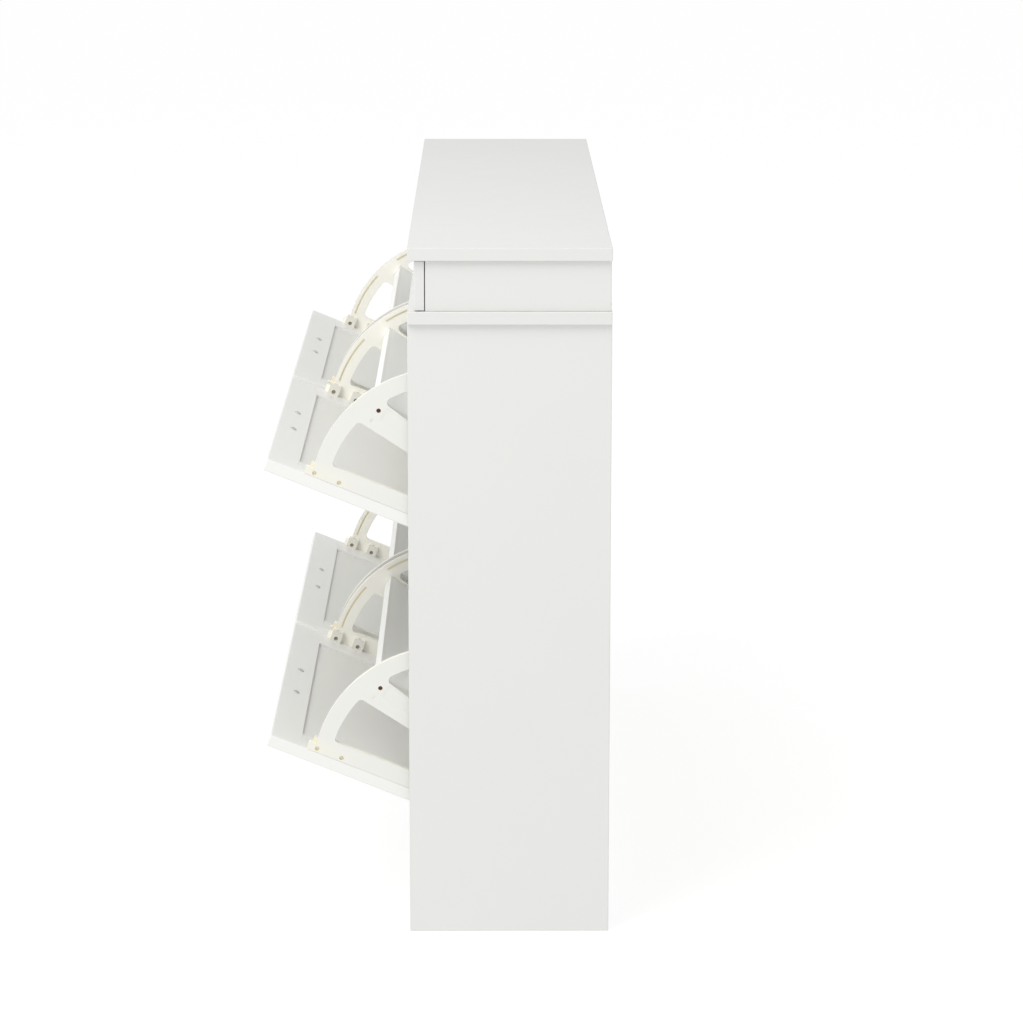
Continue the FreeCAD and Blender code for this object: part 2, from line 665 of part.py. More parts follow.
def cam_lock(face, outward):
    """Cam nut set flush in a board, with a cross slot."""
    body = rod(CAM_RADIUS, face, face - outward * CAM_DEPTH)
    slots = []
    across = Vector(outward.z, outward.x, outward.y)
    other = outward.cross(across)
    for way, side in ((across, other), (other, across)):
        size = way * (CAM_RADIUS * CAM_SLOT_SHARE) + side * CAM_SLOT_WIDTH
        depth = outward * CAM_SLOT_DEPTH
        low = face - size / 2.0 - depth
        high = face + size / 2.0 + outward
        slots.append(block(
            min(low.x, high.x), max(low.x, high.x),
            min(low.y, high.y), max(low.y, high.y),
            min(low.z, high.z), max(low.z, high.z),
        ))
    return body.cut(slots)


def dowels():
    """Dowels across the joints of the carcass."""
    half = DOWEL_LENGTH / 2.0
    depth = BOARD - DOWEL_SKIN
    ends = []
    for y in (FRONT + CAM_FROM_EDGE + DOWEL_FROM_CAM, REAR - CAM_FROM_EDGE - DOWEL_FROM_CAM):
        for x in (-SIDE_INNER - BOARD / 2.0, 0.0, SIDE_INNER + BOARD / 2.0):
            ends.append((Vector(x, y, BAY_TOP - half), Vector(x, y, BAY_TOP + depth)))
        for side in (-1, 1):
            z = KICK_HEIGHT + BOARD / 2.0
            tip = SIDE_INNER + depth
            ends.append((Vector(side * (SIDE_INNER - half), y, z), Vector(side * tip, y, z)))
            x = side * (SIDE_INNER + BOARD / 2.0)
            ends.append((Vector(x, y, TOP_UNDER - half), Vector(x, y, TOP_UNDER + depth)))
    return [rod(DOWEL_RADIUS, start, end) for start, end in ends]


# --- Carcass ---
def side_panel(side):
    """Lower side panel, rebated for the back."""
    x0, x1 = sorted((side * SIDE_INNER, side * SIDE_OUTER))
    panel = board(x0, x1, FRONT, REAR, 0.0, BAY_TOP)
    lap = sorted((side * (SIDE_INNER - PAST), side * (SIDE_INNER + BACK_REBATE)))
    return panel.cut(block(lap[0], lap[1], BACK_FACE, REAR + PAST, KICK_HEIGHT, BAY_TOP + PAST))


def upper_side(side):
    """Short side panel beside a drawer, rebated for the upper back."""
    x0, x1 = sorted((side * SIDE_INNER, side * SIDE_OUTER))
    panel = board(x0, x1, UPPER_FRONT, UPPER_REAR, DRAWER_FLOOR, TOP_UNDER)
    lap = sorted((side * (SIDE_INNER - PAST), side * (SIDE_INNER + BACK_REBATE)))
    return panel.cut(block(lap[0], lap[1], UPPER_BACK_FACE, REAR, DRAWER_FLOOR - PAST, HEIGHT))


def centre_foot():
    """Levelling foot under the middle of the bottom board."""
    pad = rod(CENTRE_FOOT_RADIUS, Vector(0, 0, 0), Vector(0, 0, CENTRE_FOOT_PAD))
    pad = pad.makeFillet(CENTRE_FOOT_EASE, [edge for edge in pad.Edges if len(edge.Vertexes) == 1])
    stem = rod(CENTRE_FOOT_STEM_RADIUS, Vector(0, 0, CENTRE_FOOT_PAD / 2.0), Vector(0, 0, KICK_HEIGHT))
    return pad.fuse(stem).removeSplitter()


def make_carcass():
    """All fixed nodes."""
    half = WIDTH / 2.0
    lap = SIDE_INNER + BACK_REBATE
    kick = FRONT + KICK_SETBACK
    boards = {
        "top_board": board(-half, half, FRONT, REAR, TOP_UNDER, HEIGHT),
        "drawer_board": board(-half, half, FRONT, REAR, BAY_TOP, DRAWER_FLOOR),
        "bottom_board": board(-SIDE_INNER, SIDE_INNER, FRONT, BACK_FACE, KICK_HEIGHT, BAY_FLOOR),
        "side_panel_left": side_panel(-1),
        "side_panel_right": side_panel(1),
        "upper_side_left": upper_side(-1),
        "upper_side_right": upper_side(1),
        "centre_divider": board(-DIVIDER_HALF, DIVIDER_HALF, FRONT, BACK_FACE, BAY_FLOOR, BAY_TOP),
        "drawer_divider": board(
            -DIVIDER_HALF, DIVIDER_HALF, UPPER_FRONT, UPPER_BACK_FACE, DRAWER_FLOOR, TOP_UNDER
        ),
        "kick_board": board(-SIDE_INNER, SIDE_INNER, kick, kick + BOARD, 0.0, KICK_HEIGHT),
        "back_panel": block(-lap, lap, BACK_FACE, BACK_REAR, KICK_HEIGHT, BAY_TOP),
        "upper_back_panel": block(-lap, lap, UPPER_BACK_FACE, UPPER_REAR, DRAWER_FLOOR, TOP_UNDER),
    }
    cams = cam_places()
    fittings = {
        "pivot_pins": pivot_pins(),
        "stop_pegs": stop_pegs(),
        "cam_locks": [cam_lock(face, outward) for face, outward in cams],
        "dowels": dowels(),
        "drawer_stops": drawer_stops(),
        "runner_screws": runner_screws(),
    }
    seats = [rod(CAM_RADIUS, face + outward, face - outward * CAM_DEPTH) for face, outward in cams]
    for name in ("pivot_pins", "stop_pegs", "dowels", "drawer_stops", "runner_screws"):
        seats += fittings[name]
    for name, shape in boards.items():
        near = [seat for seat in seats if seat.BoundBox.intersect(shape.BoundBox)]
        nodes[name] = shape.cut(near) if near else shape
    for name, solids in fittings.items():
        nodes[name] = group(solids)
    nodes["centre_foot"] = centre_foot()
    nodes["drawer_runners"] = group([runner.cut(fittings["runner_screws"]) for runner in runners()])


# --- Drawers ---
DRAWER_BOX_REAR = UPPER_BACK_FACE - DRAWER_REAR_GAP
DRAWER_SIDE_LOW = DRAWER_FLOOR + DRAWER_LIFT
DRAWER_SIDE_HIGH = DRAWER_SIDE_LOW + DRAWER_SIDE_HEIGHT
DRAWER_STOP_LOW = DRAWER_SIDE_HIGH + DRAWER_STOP_ROOM
RUNNER_LOW = DRAWER_SIDE_LOW + (DRAWER_SIDE_HEIGHT - RUNNER_HEIGHT) / 2.0
DRAWER_BOTTOM_LOW = DRAWER_SIDE_LOW + DRAWER_BOTTOM_UP
DRAWER_STOP_Y = DRAWER_BOX_FRONT + DRAWER_STOP_FROM_FRONT + DRAWER_STOP_RADIUS
DRAWER_TRAVEL = DRAWER_BOX_REAR - DRAWER_WALL - DRAWER_STOP_Y - DRAWER_STOP_RADIUS - STOP_GAP


def runner_walls():
    """Face that carries each runner and the way into its drawer."""
    return ((-SIDE_INNER, 1), (-DIVIDER_HALF, -1), (DIVIDER_HALF, 1), (SIDE_INNER, -1))


def runners():
    """Strips that the drawer sides slide on."""
    strips = []
    for wall, inward in runner_walls():
        x0, x1 = sorted((wall, wall + inward * RUNNER_THICKNESS))
        bar = block(x0, x1, UPPER_FRONT, DRAWER_BOX_REAR, RUNNER_LOW, RUNNER_LOW + RUNNER_HEIGHT)
        strips.append(eased(bar, SMALL_EASE))
    return strips


def runner_screws():
    """Sunk screws through the runners."""
    screws = []
    z = RUNNER_LOW + RUNNER_HEIGHT / 2.0
    for wall, inward in runner_walls():
        for share in RUNNER_SCREWS:
            y = UPPER_FRONT + share * (DRAWER_BOX_REAR - UPPER_FRONT)
            seat = wall + inward * RUNNER_THICKNESS
            tip = wall - inward * RUNNER_SCREW_BITE
            neck = seat - inward * SCREW_HEAD_HEIGHT
            head = rod(WOOD_SCREW_HEAD_RADIUS, Vector(seat, y, z), Vector(neck, y, z))
            shaft = rod(WOOD_SCREW_RADIUS, Vector(neck, y, z), Vector(tip, y, z))
            screws.append(head.fuse(shaft))
    return screws


def drawer_stops():
    """Pegs under the top board that catch the drawer backs."""
    pegs = []
    for x0, x1 in COLUMNS.values():
        for side in (-0.5, 0.5):
            x = (x0 + x1) / 2.0 + side * DRAWER_STOP_SPREAD
            low = Vector(x, DRAWER_STOP_Y, DRAWER_STOP_LOW)
            high = Vector(x, DRAWER_STOP_Y, HEIGHT - DRAWER_STOP_SKIN)
            pegs.append(rod(DRAWER_STOP_RADIUS, low, high))
    return pegs


def drawer_front(x0, x1):
    """Front with a finger notch in its top edge."""
    low = DRAWER_FLOOR + DRAWER_FRONT_GAP
    high = TOP_UNDER - DRAWER_FRONT_GAP
    front = eased(block(x0, x1, DRAWER_FACE, DRAWER_BOX_FRONT, low, high), BOARD_EASE)
    half = NOTCH_WIDTH / 2.0
    radius = (half**2 + NOTCH_DEPTH**2) / (2.0 * NOTCH_DEPTH)
    centre = Vector((x0 + x1) / 2.0, DRAWER_FACE - PAST, high - NOTCH_DEPTH + radius)
    scoop = rod(radius, centre, centre + Vector(0, DRAWER_FRONT_THICKNESS + 2.0 * PAST, 0))
    return front.cut(scoop)


def make_drawer(name, x0, x1, front_x0, front_x1):
    """All nodes of one drawer, between the box's outer faces x0 and x1."""
    bottom_high = DRAWER_BOTTOM_LOW + DRAWER_BOTTOM_THICKNESS
    bottom = block(
        x0 + DRAWER_WALL - DRAWER_GROOVE, x1 - DRAWER_WALL + DRAWER_GROOVE,
        DRAWER_BOX_FRONT - DRAWER_GROOVE, DRAWER_BOX_REAR, DRAWER_BOTTOM_LOW, bottom_high,
    )
    sides = []
    for outer, inward in ((x0, 1), (x1, -1)):
        a, b = sorted((outer, outer + inward * DRAWER_WALL))
        wall = block(a, b, DRAWER_BOX_FRONT, DRAWER_BOX_REAR, DRAWER_SIDE_LOW, DRAWER_SIDE_HIGH)
        depth = RUNNER_THICKNESS - DRAWER_SIDE_GAP + RUNNER_FIT
        c, d = sorted((outer - inward, outer + inward * depth))
        groove = block(
            c, d, DRAWER_BOX_FRONT - PAST, DRAWER_BOX_REAR + PAST,
            RUNNER_LOW - RUNNER_FIT, RUNNER_LOW + RUNNER_HEIGHT + RUNNER_FIT,
        )
        sides.append(eased(wall, SMALL_EASE).cut([groove, bottom]))
    back = block(
        x0 + DRAWER_WALL, x1 - DRAWER_WALL, DRAWER_BOX_REAR - DRAWER_WALL, DRAWER_BOX_REAR,
        bottom_high, DRAWER_STOP_LOW + DRAWER_STOP_BITE,
    )
    nodes[name + "_front"] = drawer_front(front_x0, front_x1).cut(bottom)
    nodes[name + "_sides"] = group(sides)
    nodes[name + "_back"] = eased(back, SMALL_EASE)
    nodes[name + "_bottom"] = bottom


# --- Build ---
make_carcass()
for row, pivot in ROWS.items():
    for column, (left_end, right_end) in COLUMNS.items():
        make_flap(row + "_" + column, pivot, left_end, right_end)

BOX_INNER_END = DIVIDER_HALF + DRAWER_SIDE_GAP
BOX_OUTER_END = SIDE_INNER - DRAWER_SIDE_GAP
MEETING = DRAWER_MEETING_GAP / 2.0
make_drawer("drawer_left", -BOX_OUTER_END, -BOX_INNER_END, -SIDE_OUTER, -MEETING)
make_drawer("drawer_right", BOX_INNER_END, BOX_OUTER_END, MEETING, SIDE_OUTER)

os.makedirs("parts", exist_ok=True)
for node, solid in nodes.items():
    solid.exportStep("parts/" + node + ".step")
    print(node, len(solid.Solids), round(solid.Volume), solid.isValid())
print("nodes", len(nodes))
print("pivots", *(round(value, 3) for value in (PIVOT_Y, UPPER_PIVOT, LOWER_PIVOT)))
print("arc", round(ARC_RADIUS, 3), "travel", round(DRAWER_TRAVEL, 3))
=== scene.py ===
import json
import logging
import math
from dataclasses import dataclass, field
from enum import Enum

import bmesh
import bpy
from mathutils import Matrix, Vector


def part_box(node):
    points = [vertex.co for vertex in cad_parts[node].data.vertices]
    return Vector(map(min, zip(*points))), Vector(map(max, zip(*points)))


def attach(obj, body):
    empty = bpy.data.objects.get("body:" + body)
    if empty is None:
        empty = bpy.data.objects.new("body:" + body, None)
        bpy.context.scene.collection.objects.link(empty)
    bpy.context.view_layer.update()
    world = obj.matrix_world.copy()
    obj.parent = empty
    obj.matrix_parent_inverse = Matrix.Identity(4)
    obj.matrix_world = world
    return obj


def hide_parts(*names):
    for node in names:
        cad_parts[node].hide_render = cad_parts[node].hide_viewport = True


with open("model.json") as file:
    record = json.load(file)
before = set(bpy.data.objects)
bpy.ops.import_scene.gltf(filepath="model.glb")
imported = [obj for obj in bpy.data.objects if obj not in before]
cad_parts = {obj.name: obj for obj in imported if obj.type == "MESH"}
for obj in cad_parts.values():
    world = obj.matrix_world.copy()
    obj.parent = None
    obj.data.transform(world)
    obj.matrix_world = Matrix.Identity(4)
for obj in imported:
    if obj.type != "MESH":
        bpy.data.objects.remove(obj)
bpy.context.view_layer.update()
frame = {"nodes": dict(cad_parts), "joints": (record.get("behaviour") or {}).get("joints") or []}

# Shoe cabinet with four tilt-out flaps and two shallow drawers.
# The frame gives every board, bracket and fitting its place. This script gives each of them its
# finish, and rebuilds the brackets, handles, screws and nails with their fine shapes.
# Lengths are in metres and colours are linear.

LOG = logging.getLogger("shoe_cabinet")
MM = 0.001

Colour = tuple[float, float, float]
SocketValue = object


# --- Node trees ---
class Sheet:
    """A node tree that is being filled in."""

    def __init__(self, tree: bpy.types.NodeTree) -> None:
        """Keeps the tree that nodes are added to."""
        self.tree = tree

    def add(self, kind: str, inputs: dict | None = None, **settings: object) -> bpy.types.Node:
        """Adds a node.

        Args:
            kind: The node's type name.
            inputs: Input name or index to a constant or to another node's output.
            settings: Properties set on the node before its inputs.

        Returns:
            The new node.
        """
        node = self.tree.nodes.new(kind)
        for key, value in settings.items():
            setattr(node, key, value)
        for key, value in (inputs or {}).items():
            for item in value if isinstance(value, list) else [value]:
                if isinstance(item, bpy.types.NodeSocket):
                    self.tree.links.new(item, node.inputs[key])
                else:
                    node.inputs[key].default_value = item
        return node

    def maths(self, operation: str, *values: SocketValue) -> bpy.types.NodeSocket:
        """Adds a Math node and returns its result."""
        return self.add("ShaderNodeMath", dict(enumerate(values)), operation=operation).outputs[0]

    def vector(self, operation: str, *values: SocketValue) -> bpy.types.NodeSocket:
        """Adds a Vector Math node and returns its vector."""
        return self.add("ShaderNodeVectorMath", dict(enumerate(values)), operation=operation).outputs[0]

    def parts(self, vector: bpy.types.NodeSocket) -> tuple[bpy.types.NodeSocket, ...]:
        """Returns the three components of a vector."""
        return tuple(self.add("ShaderNodeSeparateXYZ", {0: vector}).outputs)

    def noise(self, vector: SocketValue, scale: SocketValue, detail: float = 2.0) -> bpy.types.NodeSocket:
        """Adds a noise texture and returns its factor."""
        inputs = {"Vector": vector, "Scale": scale, "Detail": detail}
        return self.add("ShaderNodeTexNoise", inputs).outputs[0]

    def ramp(self, value: SocketValue, low: SocketValue, high: SocketValue) -> bpy.types.NodeSocket:
        """Returns a smooth step from 0 at low to 1 at high."""
        inputs = {"Value": value, "From Min": low, "From Max": high}
        return self.add("ShaderNodeMapRange", inputs, interpolation_type="SMOOTHSTEP").outputs[0]

    def mix(self, factor: SocketValue, first: SocketValue, second: SocketValue) -> bpy.types.NodeSocket:
        """Mixes two colours and returns the result."""
        inputs = {"Factor": factor, 6: first, 7: second}
        return self.add("ShaderNodeMix", inputs, data_type="RGBA").outputs[2]

    def group(self, tree: bpy.types.NodeTree, inputs: dict) -> bpy.types.Node:
        """Places a shared node group with its own values."""
        return self.add("ShaderNodeGroup", inputs, node_tree=tree)


class GroupSheet(Sheet):
    """A node group with named inputs and outputs."""

    def __init__(self, name: str, kind: str, inputs: dict[str, object], outputs: dict[str, str]) -> None:
        """Makes the group.

        Args:
            name: The group's name.
            kind: ShaderNodeTree or GeometryNodeTree.
            inputs: Input name to (socket type, default value).
            outputs: Output name to socket type.
        """
        super().__init__(bpy.data.node_groups.new(name, kind))
        for key, (socket, default) in inputs.items():
            made = self.tree.interface.new_socket(key, in_out="INPUT", socket_type="NodeSocket" + socket)
            if default is not None:
                made.default_value = default
        for key, socket in outputs.items():
            self.tree.interface.new_socket(key, in_out="OUTPUT", socket_type="NodeSocket" + socket)
        self.given = self.add("NodeGroupInput").outputs
        self.result = self.add("NodeGroupOutput").inputs

    def give(self, key: str, socket: bpy.types.NodeSocket) -> None:
        """Connects a socket to one of the group's outputs."""
        self.tree.links.new(socket, self.result[key])

    def deliver(self, geometry: bpy.types.NodeSocket) -> bpy.types.NodeTree:
        """Ends a geometry tree with real geometry in the given finish.

        Args:
            geometry: What the tree has made.

        Returns:
            The finished tree.
        """
        real = self.add("GeometryNodeRealizeInstances", {0: geometry})
        inputs = {"Geometry": real.outputs[0], "Material": self.given["Finish"]}
        self.give("Geometry", self.add("GeometryNodeSetMaterial", inputs).outputs[0])
        return self.tree


class SharedLook:
    """Node groups for effects that several finishes use."""

    def __init__(self) -> None:
        """Builds every group once."""
        self.edges = self._edges()
        self.wear = self._wear()
        self.texture = self._texture()
        self.drift = self._drift()
        self.dust = self._dust()

    def _edges(self) -> bpy.types.NodeTree:
        """Distances to a board's edges, and masks for its edge band and the band's glue line.

        Returns:
            The group's tree.
        """
        sheet = GroupSheet(
            "board_edges", "ShaderNodeTree",
            {
                "Vector": ("Vector", None),
                "Centre": ("Vector", None),
                "Half Size": ("Vector", None),
                "Thin Way": ("Vector", None),
                "Band": ("Float", 0.001),
                "Line": ("Float", 0.0001),
            },
            {"Edge Distance": "Float", "Band Mask": "Float", "Line Mask": "Float"},
        )
        given = sheet.given
        offset = sheet.vector("ABSOLUTE", sheet.vector("SUBTRACT", given["Vector"], given["Centre"]))
        room = sheet.vector("SUBTRACT", given["Half Size"], offset)
        x, y, z = sheet.parts(room)
        least = sheet.maths("MINIMUM", sheet.maths("MINIMUM", x, y), z)
        most = sheet.maths("MAXIMUM", sheet.maths("MAXIMUM", x, y), z)
        total = sheet.maths("ADD", sheet.maths("ADD", x, y), z)
        middle = sheet.maths("SUBTRACT", sheet.maths("SUBTRACT", total, most), least)
        dot = sheet.add("ShaderNodeVectorMath", {0: room, 1: given["Thin Way"]}, operation="DOT_PRODUCT")
        depth = dot.outputs["Value"]
        band = sheet.ramp(depth, sheet.maths("MULTIPLY", given["Band"], 0.6), given["Band"])
        off_line = sheet.maths("ABSOLUTE", sheet.maths("SUBTRACT", middle, given["Band"]))
        on_line = sheet.maths("LESS_THAN", off_line, given["Line"])
        on_face = sheet.maths("SUBTRACT", 1.0, band)
        sheet.give("Edge Distance", middle)
        sheet.give("Band Mask", band)
        sheet.give("Line Mask", sheet.maths("MULTIPLY", on_line, on_face))
        return sheet.tree

    def _wear(self) -> bpy.types.NodeTree:
        """Broken mask of rubbed edges.

        Returns:
            The group's tree.
        """
        sheet = GroupSheet(
            "edge_wear", "ShaderNodeTree",
            {
                "Vector": ("Vector", None),
                "Edge Distance": ("Float", 1.0),
                "Width": ("Float", 0.002),
                "Patch Scale": ("Float", 40.0),
                "Amount": ("Float", 0.5),
            },
            {"Mask": "Float"},
        )
        given = sheet.given
        near = sheet.maths("SUBTRACT", 1.0, sheet.ramp(given["Edge Distance"], 0.0, given["Width"]))
        patches = sheet.ramp(sheet.noise(given["Vector"], given["Patch Scale"], 5.0), 0.45, 0.7)
        mask = sheet.maths("MULTIPLY", sheet.maths("MULTIPLY", near, patches), given["Amount"])
        sheet.give("Mask", mask)
        return sheet.tree

    def _texture(self) -> bpy.types.NodeTree:
        """Fine surface relief in two sizes, with a slow variation for gloss.

        Returns:
            The group's tree.
        """
        sheet = GroupSheet(
            "fine_texture", "ShaderNodeTree",
            {
                "Vector": ("Vector", None),
                "Scale": ("Float", 900.0),
                "Coarse Share": ("Float", 0.35),
            },
            {"Height": "Float", "Variation": "Float"},
        )
        given = sheet.given
        fine = sheet.noise(given["Vector"], given["Scale"], 3.0)
        coarse = sheet.noise(given["Vector"], sheet.maths("MULTIPLY", given["Scale"], 0.12), 2.0)
        weighted = sheet.maths("MULTIPLY", coarse, given["Coarse Share"])
        sheet.give("Height", sheet.maths("ADD", fine, weighted))
        sheet.give("Variation", sheet.noise(given["Vector"], 14.0, 4.0))
        return sheet.tree

    def _drift(self) -> bpy.types.NodeTree:
        """Colour that wanders slightly in lightness.

        Returns:
            The group's tree.
        """
        sheet = GroupSheet(
            "tone_drift", "ShaderNodeTree",
            {
                "Vector": ("Vector", None),
                "Colour": ("Color", (0.8, 0.8, 0.8, 1.0)),
                "Scale": ("Float", 6.0),
                "Amount": ("Float", 0.02),
            },
            {"Colour": "Color"},
        )
        given = sheet.given
        wander = sheet.maths("SUBTRACT", sheet.noise(given["Vector"], given["Scale"], 4.0), 0.5)
        gain = sheet.maths("ADD", 1.0, sheet.maths("MULTIPLY", wander, given["Amount"]))
        scaled = sheet.add("ShaderNodeVectorMath", {0: given["Colour"], 3: gain}, operation="SCALE")
        sheet.give("Colour", scaled.outputs[0])
        return sheet.tree

    def _dust(self) -> bpy.types.NodeTree:
        """Thin settled dust on faces that look up.

        Returns:
            The group's tree.
        """
        sheet = GroupSheet(
            "settled_dust", "ShaderNodeTree",
            {
                "Vector": ("Vector", None),
                "Normal": ("Vector", None),
                "Scale": ("Float", 30.0),
                "Amount": ("Float", 0.1),
            },
            {"Mask": "Float"},
        )
        given = sheet.given
        up = sheet.ramp(sheet.parts(given["Normal"])[2], 0.6, 0.95)
        cloud = sheet.ramp(sheet.noise(given["Vector"], given["Scale"], 6.0), 0.4, 0.75)
        sheet.give("Mask", sheet.maths("MULTIPLY", sheet.maths("MULTIPLY", up, cloud), given["Amount"]))
        return sheet.tree


# --- Where pieces lie ---
@dataclass(frozen=True)
class Swing:
    """How a body is turned from its closed plan to its place in the frame."""

    pivot: Vector = field(default_factory=Vector)
    angle: float = 0.0

    @property
    def back(self) -> Matrix:
        """Matrix from the frame to the closed plan, whose origin is the pivot."""
        return Matrix.Rotation(-self.angle, 4, "X") @ Matrix.Translation(-self.pivot)

    @property
    def out(self) -> Matrix:
        """Matrix from the closed plan to the frame."""
        return self.back.inverted()

    def plan_box(self, points: list[Vector]) -> tuple[Vector, Vector]:
        """Lowest and highest corner of frame points in the closed plan.

        Args:
            points: Points in the frame.

        Returns:
            The two corners.
        """
        turned = [self.back @ point for point in points]
        low = Vector([min(point[axis] for point in turned) for axis in range(3)])
        high = Vector([max(point[axis] for point in turned) for axis in range(3)])
        return low, high


FIXED = Swing()


def node_points(node: str) -> list[Vector]:
    """Returns the vertices of a frame node."""
    return [vertex.co.copy() for vertex in frame["nodes"][node].data.vertices]


@dataclass(frozen=True)
class Place:
    """A piece's swing and its box in the closed plan."""

    swing: Swing
    low: Vector
    high: Vector

    @classmethod
    def of_node(cls, node: str, swing: Swing = FIXED) -> "Place":
        """Place of a frame node."""
        return cls(swing, *swing.plan_box(node_points(node)))

    @property
    def centre(self) -> Vector:
        """Middle of the box."""
        return (self.low + self.high) / 2.0

    @property
    def half(self) -> Vector:
        """Half of the box's sides."""
        return (self.high - self.low) / 2.0

    @property
    def thin_way(self) -> Vector:
        """Unit vector along the shortest side."""
        sides = list(self.half)
        return Vector([float(side == min(sides)) for side in sides])

    def coordinates(self, sheet: Sheet) -> tuple[bpy.types.NodeSocket, bpy.types.NodeSocket]:
        """Adds object coordinates and the normal, both turned back to the closed plan.

        Args:
            sheet: The material's tree.

        Returns:
            The point and the normal.
        """
        source = sheet.add("ShaderNodeTexCoord")
        turn = (-self.swing.angle, 0.0, 0.0)
        shift = {
            "Vector": source.outputs["Object"], "Location": self.swing.back.translation, "Rotation": turn,
        }
        point = sheet.add("ShaderNodeMapping", shift, vector_type="POINT")
        facing = {"Vector": source.outputs["Normal"], "Rotation": turn}
        normal = sheet.add("ShaderNodeMapping", facing, vector_type="VECTOR")
        return point.outputs[0], normal.outputs[0]


# --- Finishes ---
class Grain(Enum):
    """Way that wood grain or brushing runs in the closed plan."""

    ALONG_X = (1.0, 14.0, 14.0)
    ALONG_Y = (14.0, 1.0, 14.0)
    ALONG_Z = (14.0, 14.0, 1.0)


@dataclass(frozen=True)
class Coat:
    """What a finish works with when it dresses one piece."""

    sheet: Sheet
    shader: bpy.types.Node
    look: SharedLook
    point: bpy.types.NodeSocket
    normal: bpy.types.NodeSocket
    place: Place


@dataclass(frozen=True)
class Finish:
    """What every finish has."""

    label: str
    slot: str
    colour: Colour
    roughness: float

    def material(self, look: SharedLook, piece: str, place: Place) -> bpy.types.Material:
        """Makes the material of one piece.

        Args:
            look: The shared node groups.
            piece: The piece's name.
            place: Where it lies.

        Returns:
            The material.
        """
        material = bpy.data.materials.new(f"{self.label}_{piece}")
        material.use_nodes = True
        material.diffuse_color = (*self.colour, 1.0)
        sheet = Sheet(material.node_tree)
        shader = material.node_tree.nodes["Principled BSDF"]
        self.dress(Coat(sheet, shader, look, *place.coordinates(sheet), place))
        return material

    def dress(self, coat: Coat) -> None:
        """Connects the finish's nodes to the shader of a coat."""
        raise NotImplementedError

    def connect(
        self, coat: Coat, colour: bpy.types.NodeSocket, roughness: bpy.types.NodeSocket,
        height: bpy.types.NodeSocket, depth: float,
    ) -> None:
        """Connects colour, roughness and relief.

        Args:
            coat: The piece's coat.
            colour: Base colour.
            roughness: Roughness.
            height: Relief from about 0 to 1.
            depth: Height of the relief in metres.
        """
        bump = coat.sheet.add("ShaderNodeBump", {"Strength": 1.0, "Distance": depth, "Height": height})
        for key, socket in (("Base Color", colour), ("Roughness", roughness), ("Normal", bump.outputs[0])):
            coat.sheet.tree.links.new(socket, coat.shader.inputs[key])

    def vary(self, sheet: Sheet, variation: bpy.types.NodeSocket, amount: float) -> bpy.types.NodeSocket:
        """Roughness that wanders round the finish's own by an amount."""
        centred = sheet.maths("SUBTRACT", variation, 0.5)
        return sheet.maths("ADD", self.roughness, sheet.maths("MULTIPLY", centred, amount))


@dataclass(frozen=True)
class BoardFinish(Finish):
    """Foil or lacquer on board, with edge bands, light wear and a little dust."""

    band_colour: Colour = (0.8, 0.8, 0.78)
    line_colour: Colour = (0.5, 0.47, 0.42)
    wear_colour: Colour = (0.62, 0.59, 0.54)
    dust_colour: Colour = (0.66, 0.64, 0.6)
    band: float = 0.9 * MM
    line_width: float = 0.07 * MM
    line_strength: float = 0.6
    relief_scale: float = 900.0
    relief: float = 0.012 * MM
    wear: float = 0.25
    wear_width: float = 1.6 * MM
    dust: float = 0.12
    dust_roughness: float = 0.6

    def dress(self, coat: Coat) -> None:
        """Face colour, banded edges, rubbed arrises and satin relief.

        Args:
            coat: The piece's coat.
        """
        sheet, look, point, place = coat.sheet, coat.look, coat.point, coat.place
        edges = sheet.group(look.edges, {
            "Vector": point, "Centre": place.centre, "Half Size": place.half,
            "Thin Way": place.thin_way, "Band": self.band, "Line": self.line_width,
        })
        face = sheet.group(look.drift, {
            "Vector": point, "Colour": (*self.colour, 1.0), "Scale": 5.0, "Amount": 0.03,
        })
        colour = sheet.mix(edges.outputs["Band Mask"], face.outputs[0], (*self.band_colour, 1.0))
        line = sheet.maths("MULTIPLY", edges.outputs["Line Mask"], self.line_strength)
        colour = sheet.mix(line, colour, (*self.line_colour, 1.0))
        rubbed = sheet.group(look.wear, {
            "Vector": point, "Edge Distance": edges.outputs["Edge Distance"],
            "Width": self.wear_width, "Patch Scale": 55.0, "Amount": self.wear,
        })
        colour = sheet.mix(rubbed.outputs[0], colour, (*self.wear_colour, 1.0))
        dusty = sheet.group(look.dust, {
            "Vector": point, "Normal": coat.normal, "Scale": 26.0, "Amount": self.dust,
        })
        colour = sheet.mix(dusty.outputs[0], colour, (*self.dust_colour, 1.0))
        texture = sheet.group(look.texture, {
            "Vector": point, "Scale": self.relief_scale, "Coarse Share": 0.4,
        })
        roughness = self.vary(sheet, texture.outputs["Variation"], 0.12)
        matt = sheet.maths("MULTIPLY", dusty.outputs[0], self.dust_roughness)
        roughness = sheet.maths("ADD", roughness, matt)
        self.connect(coat, colour, roughness, texture.outputs["Height"], self.relief)


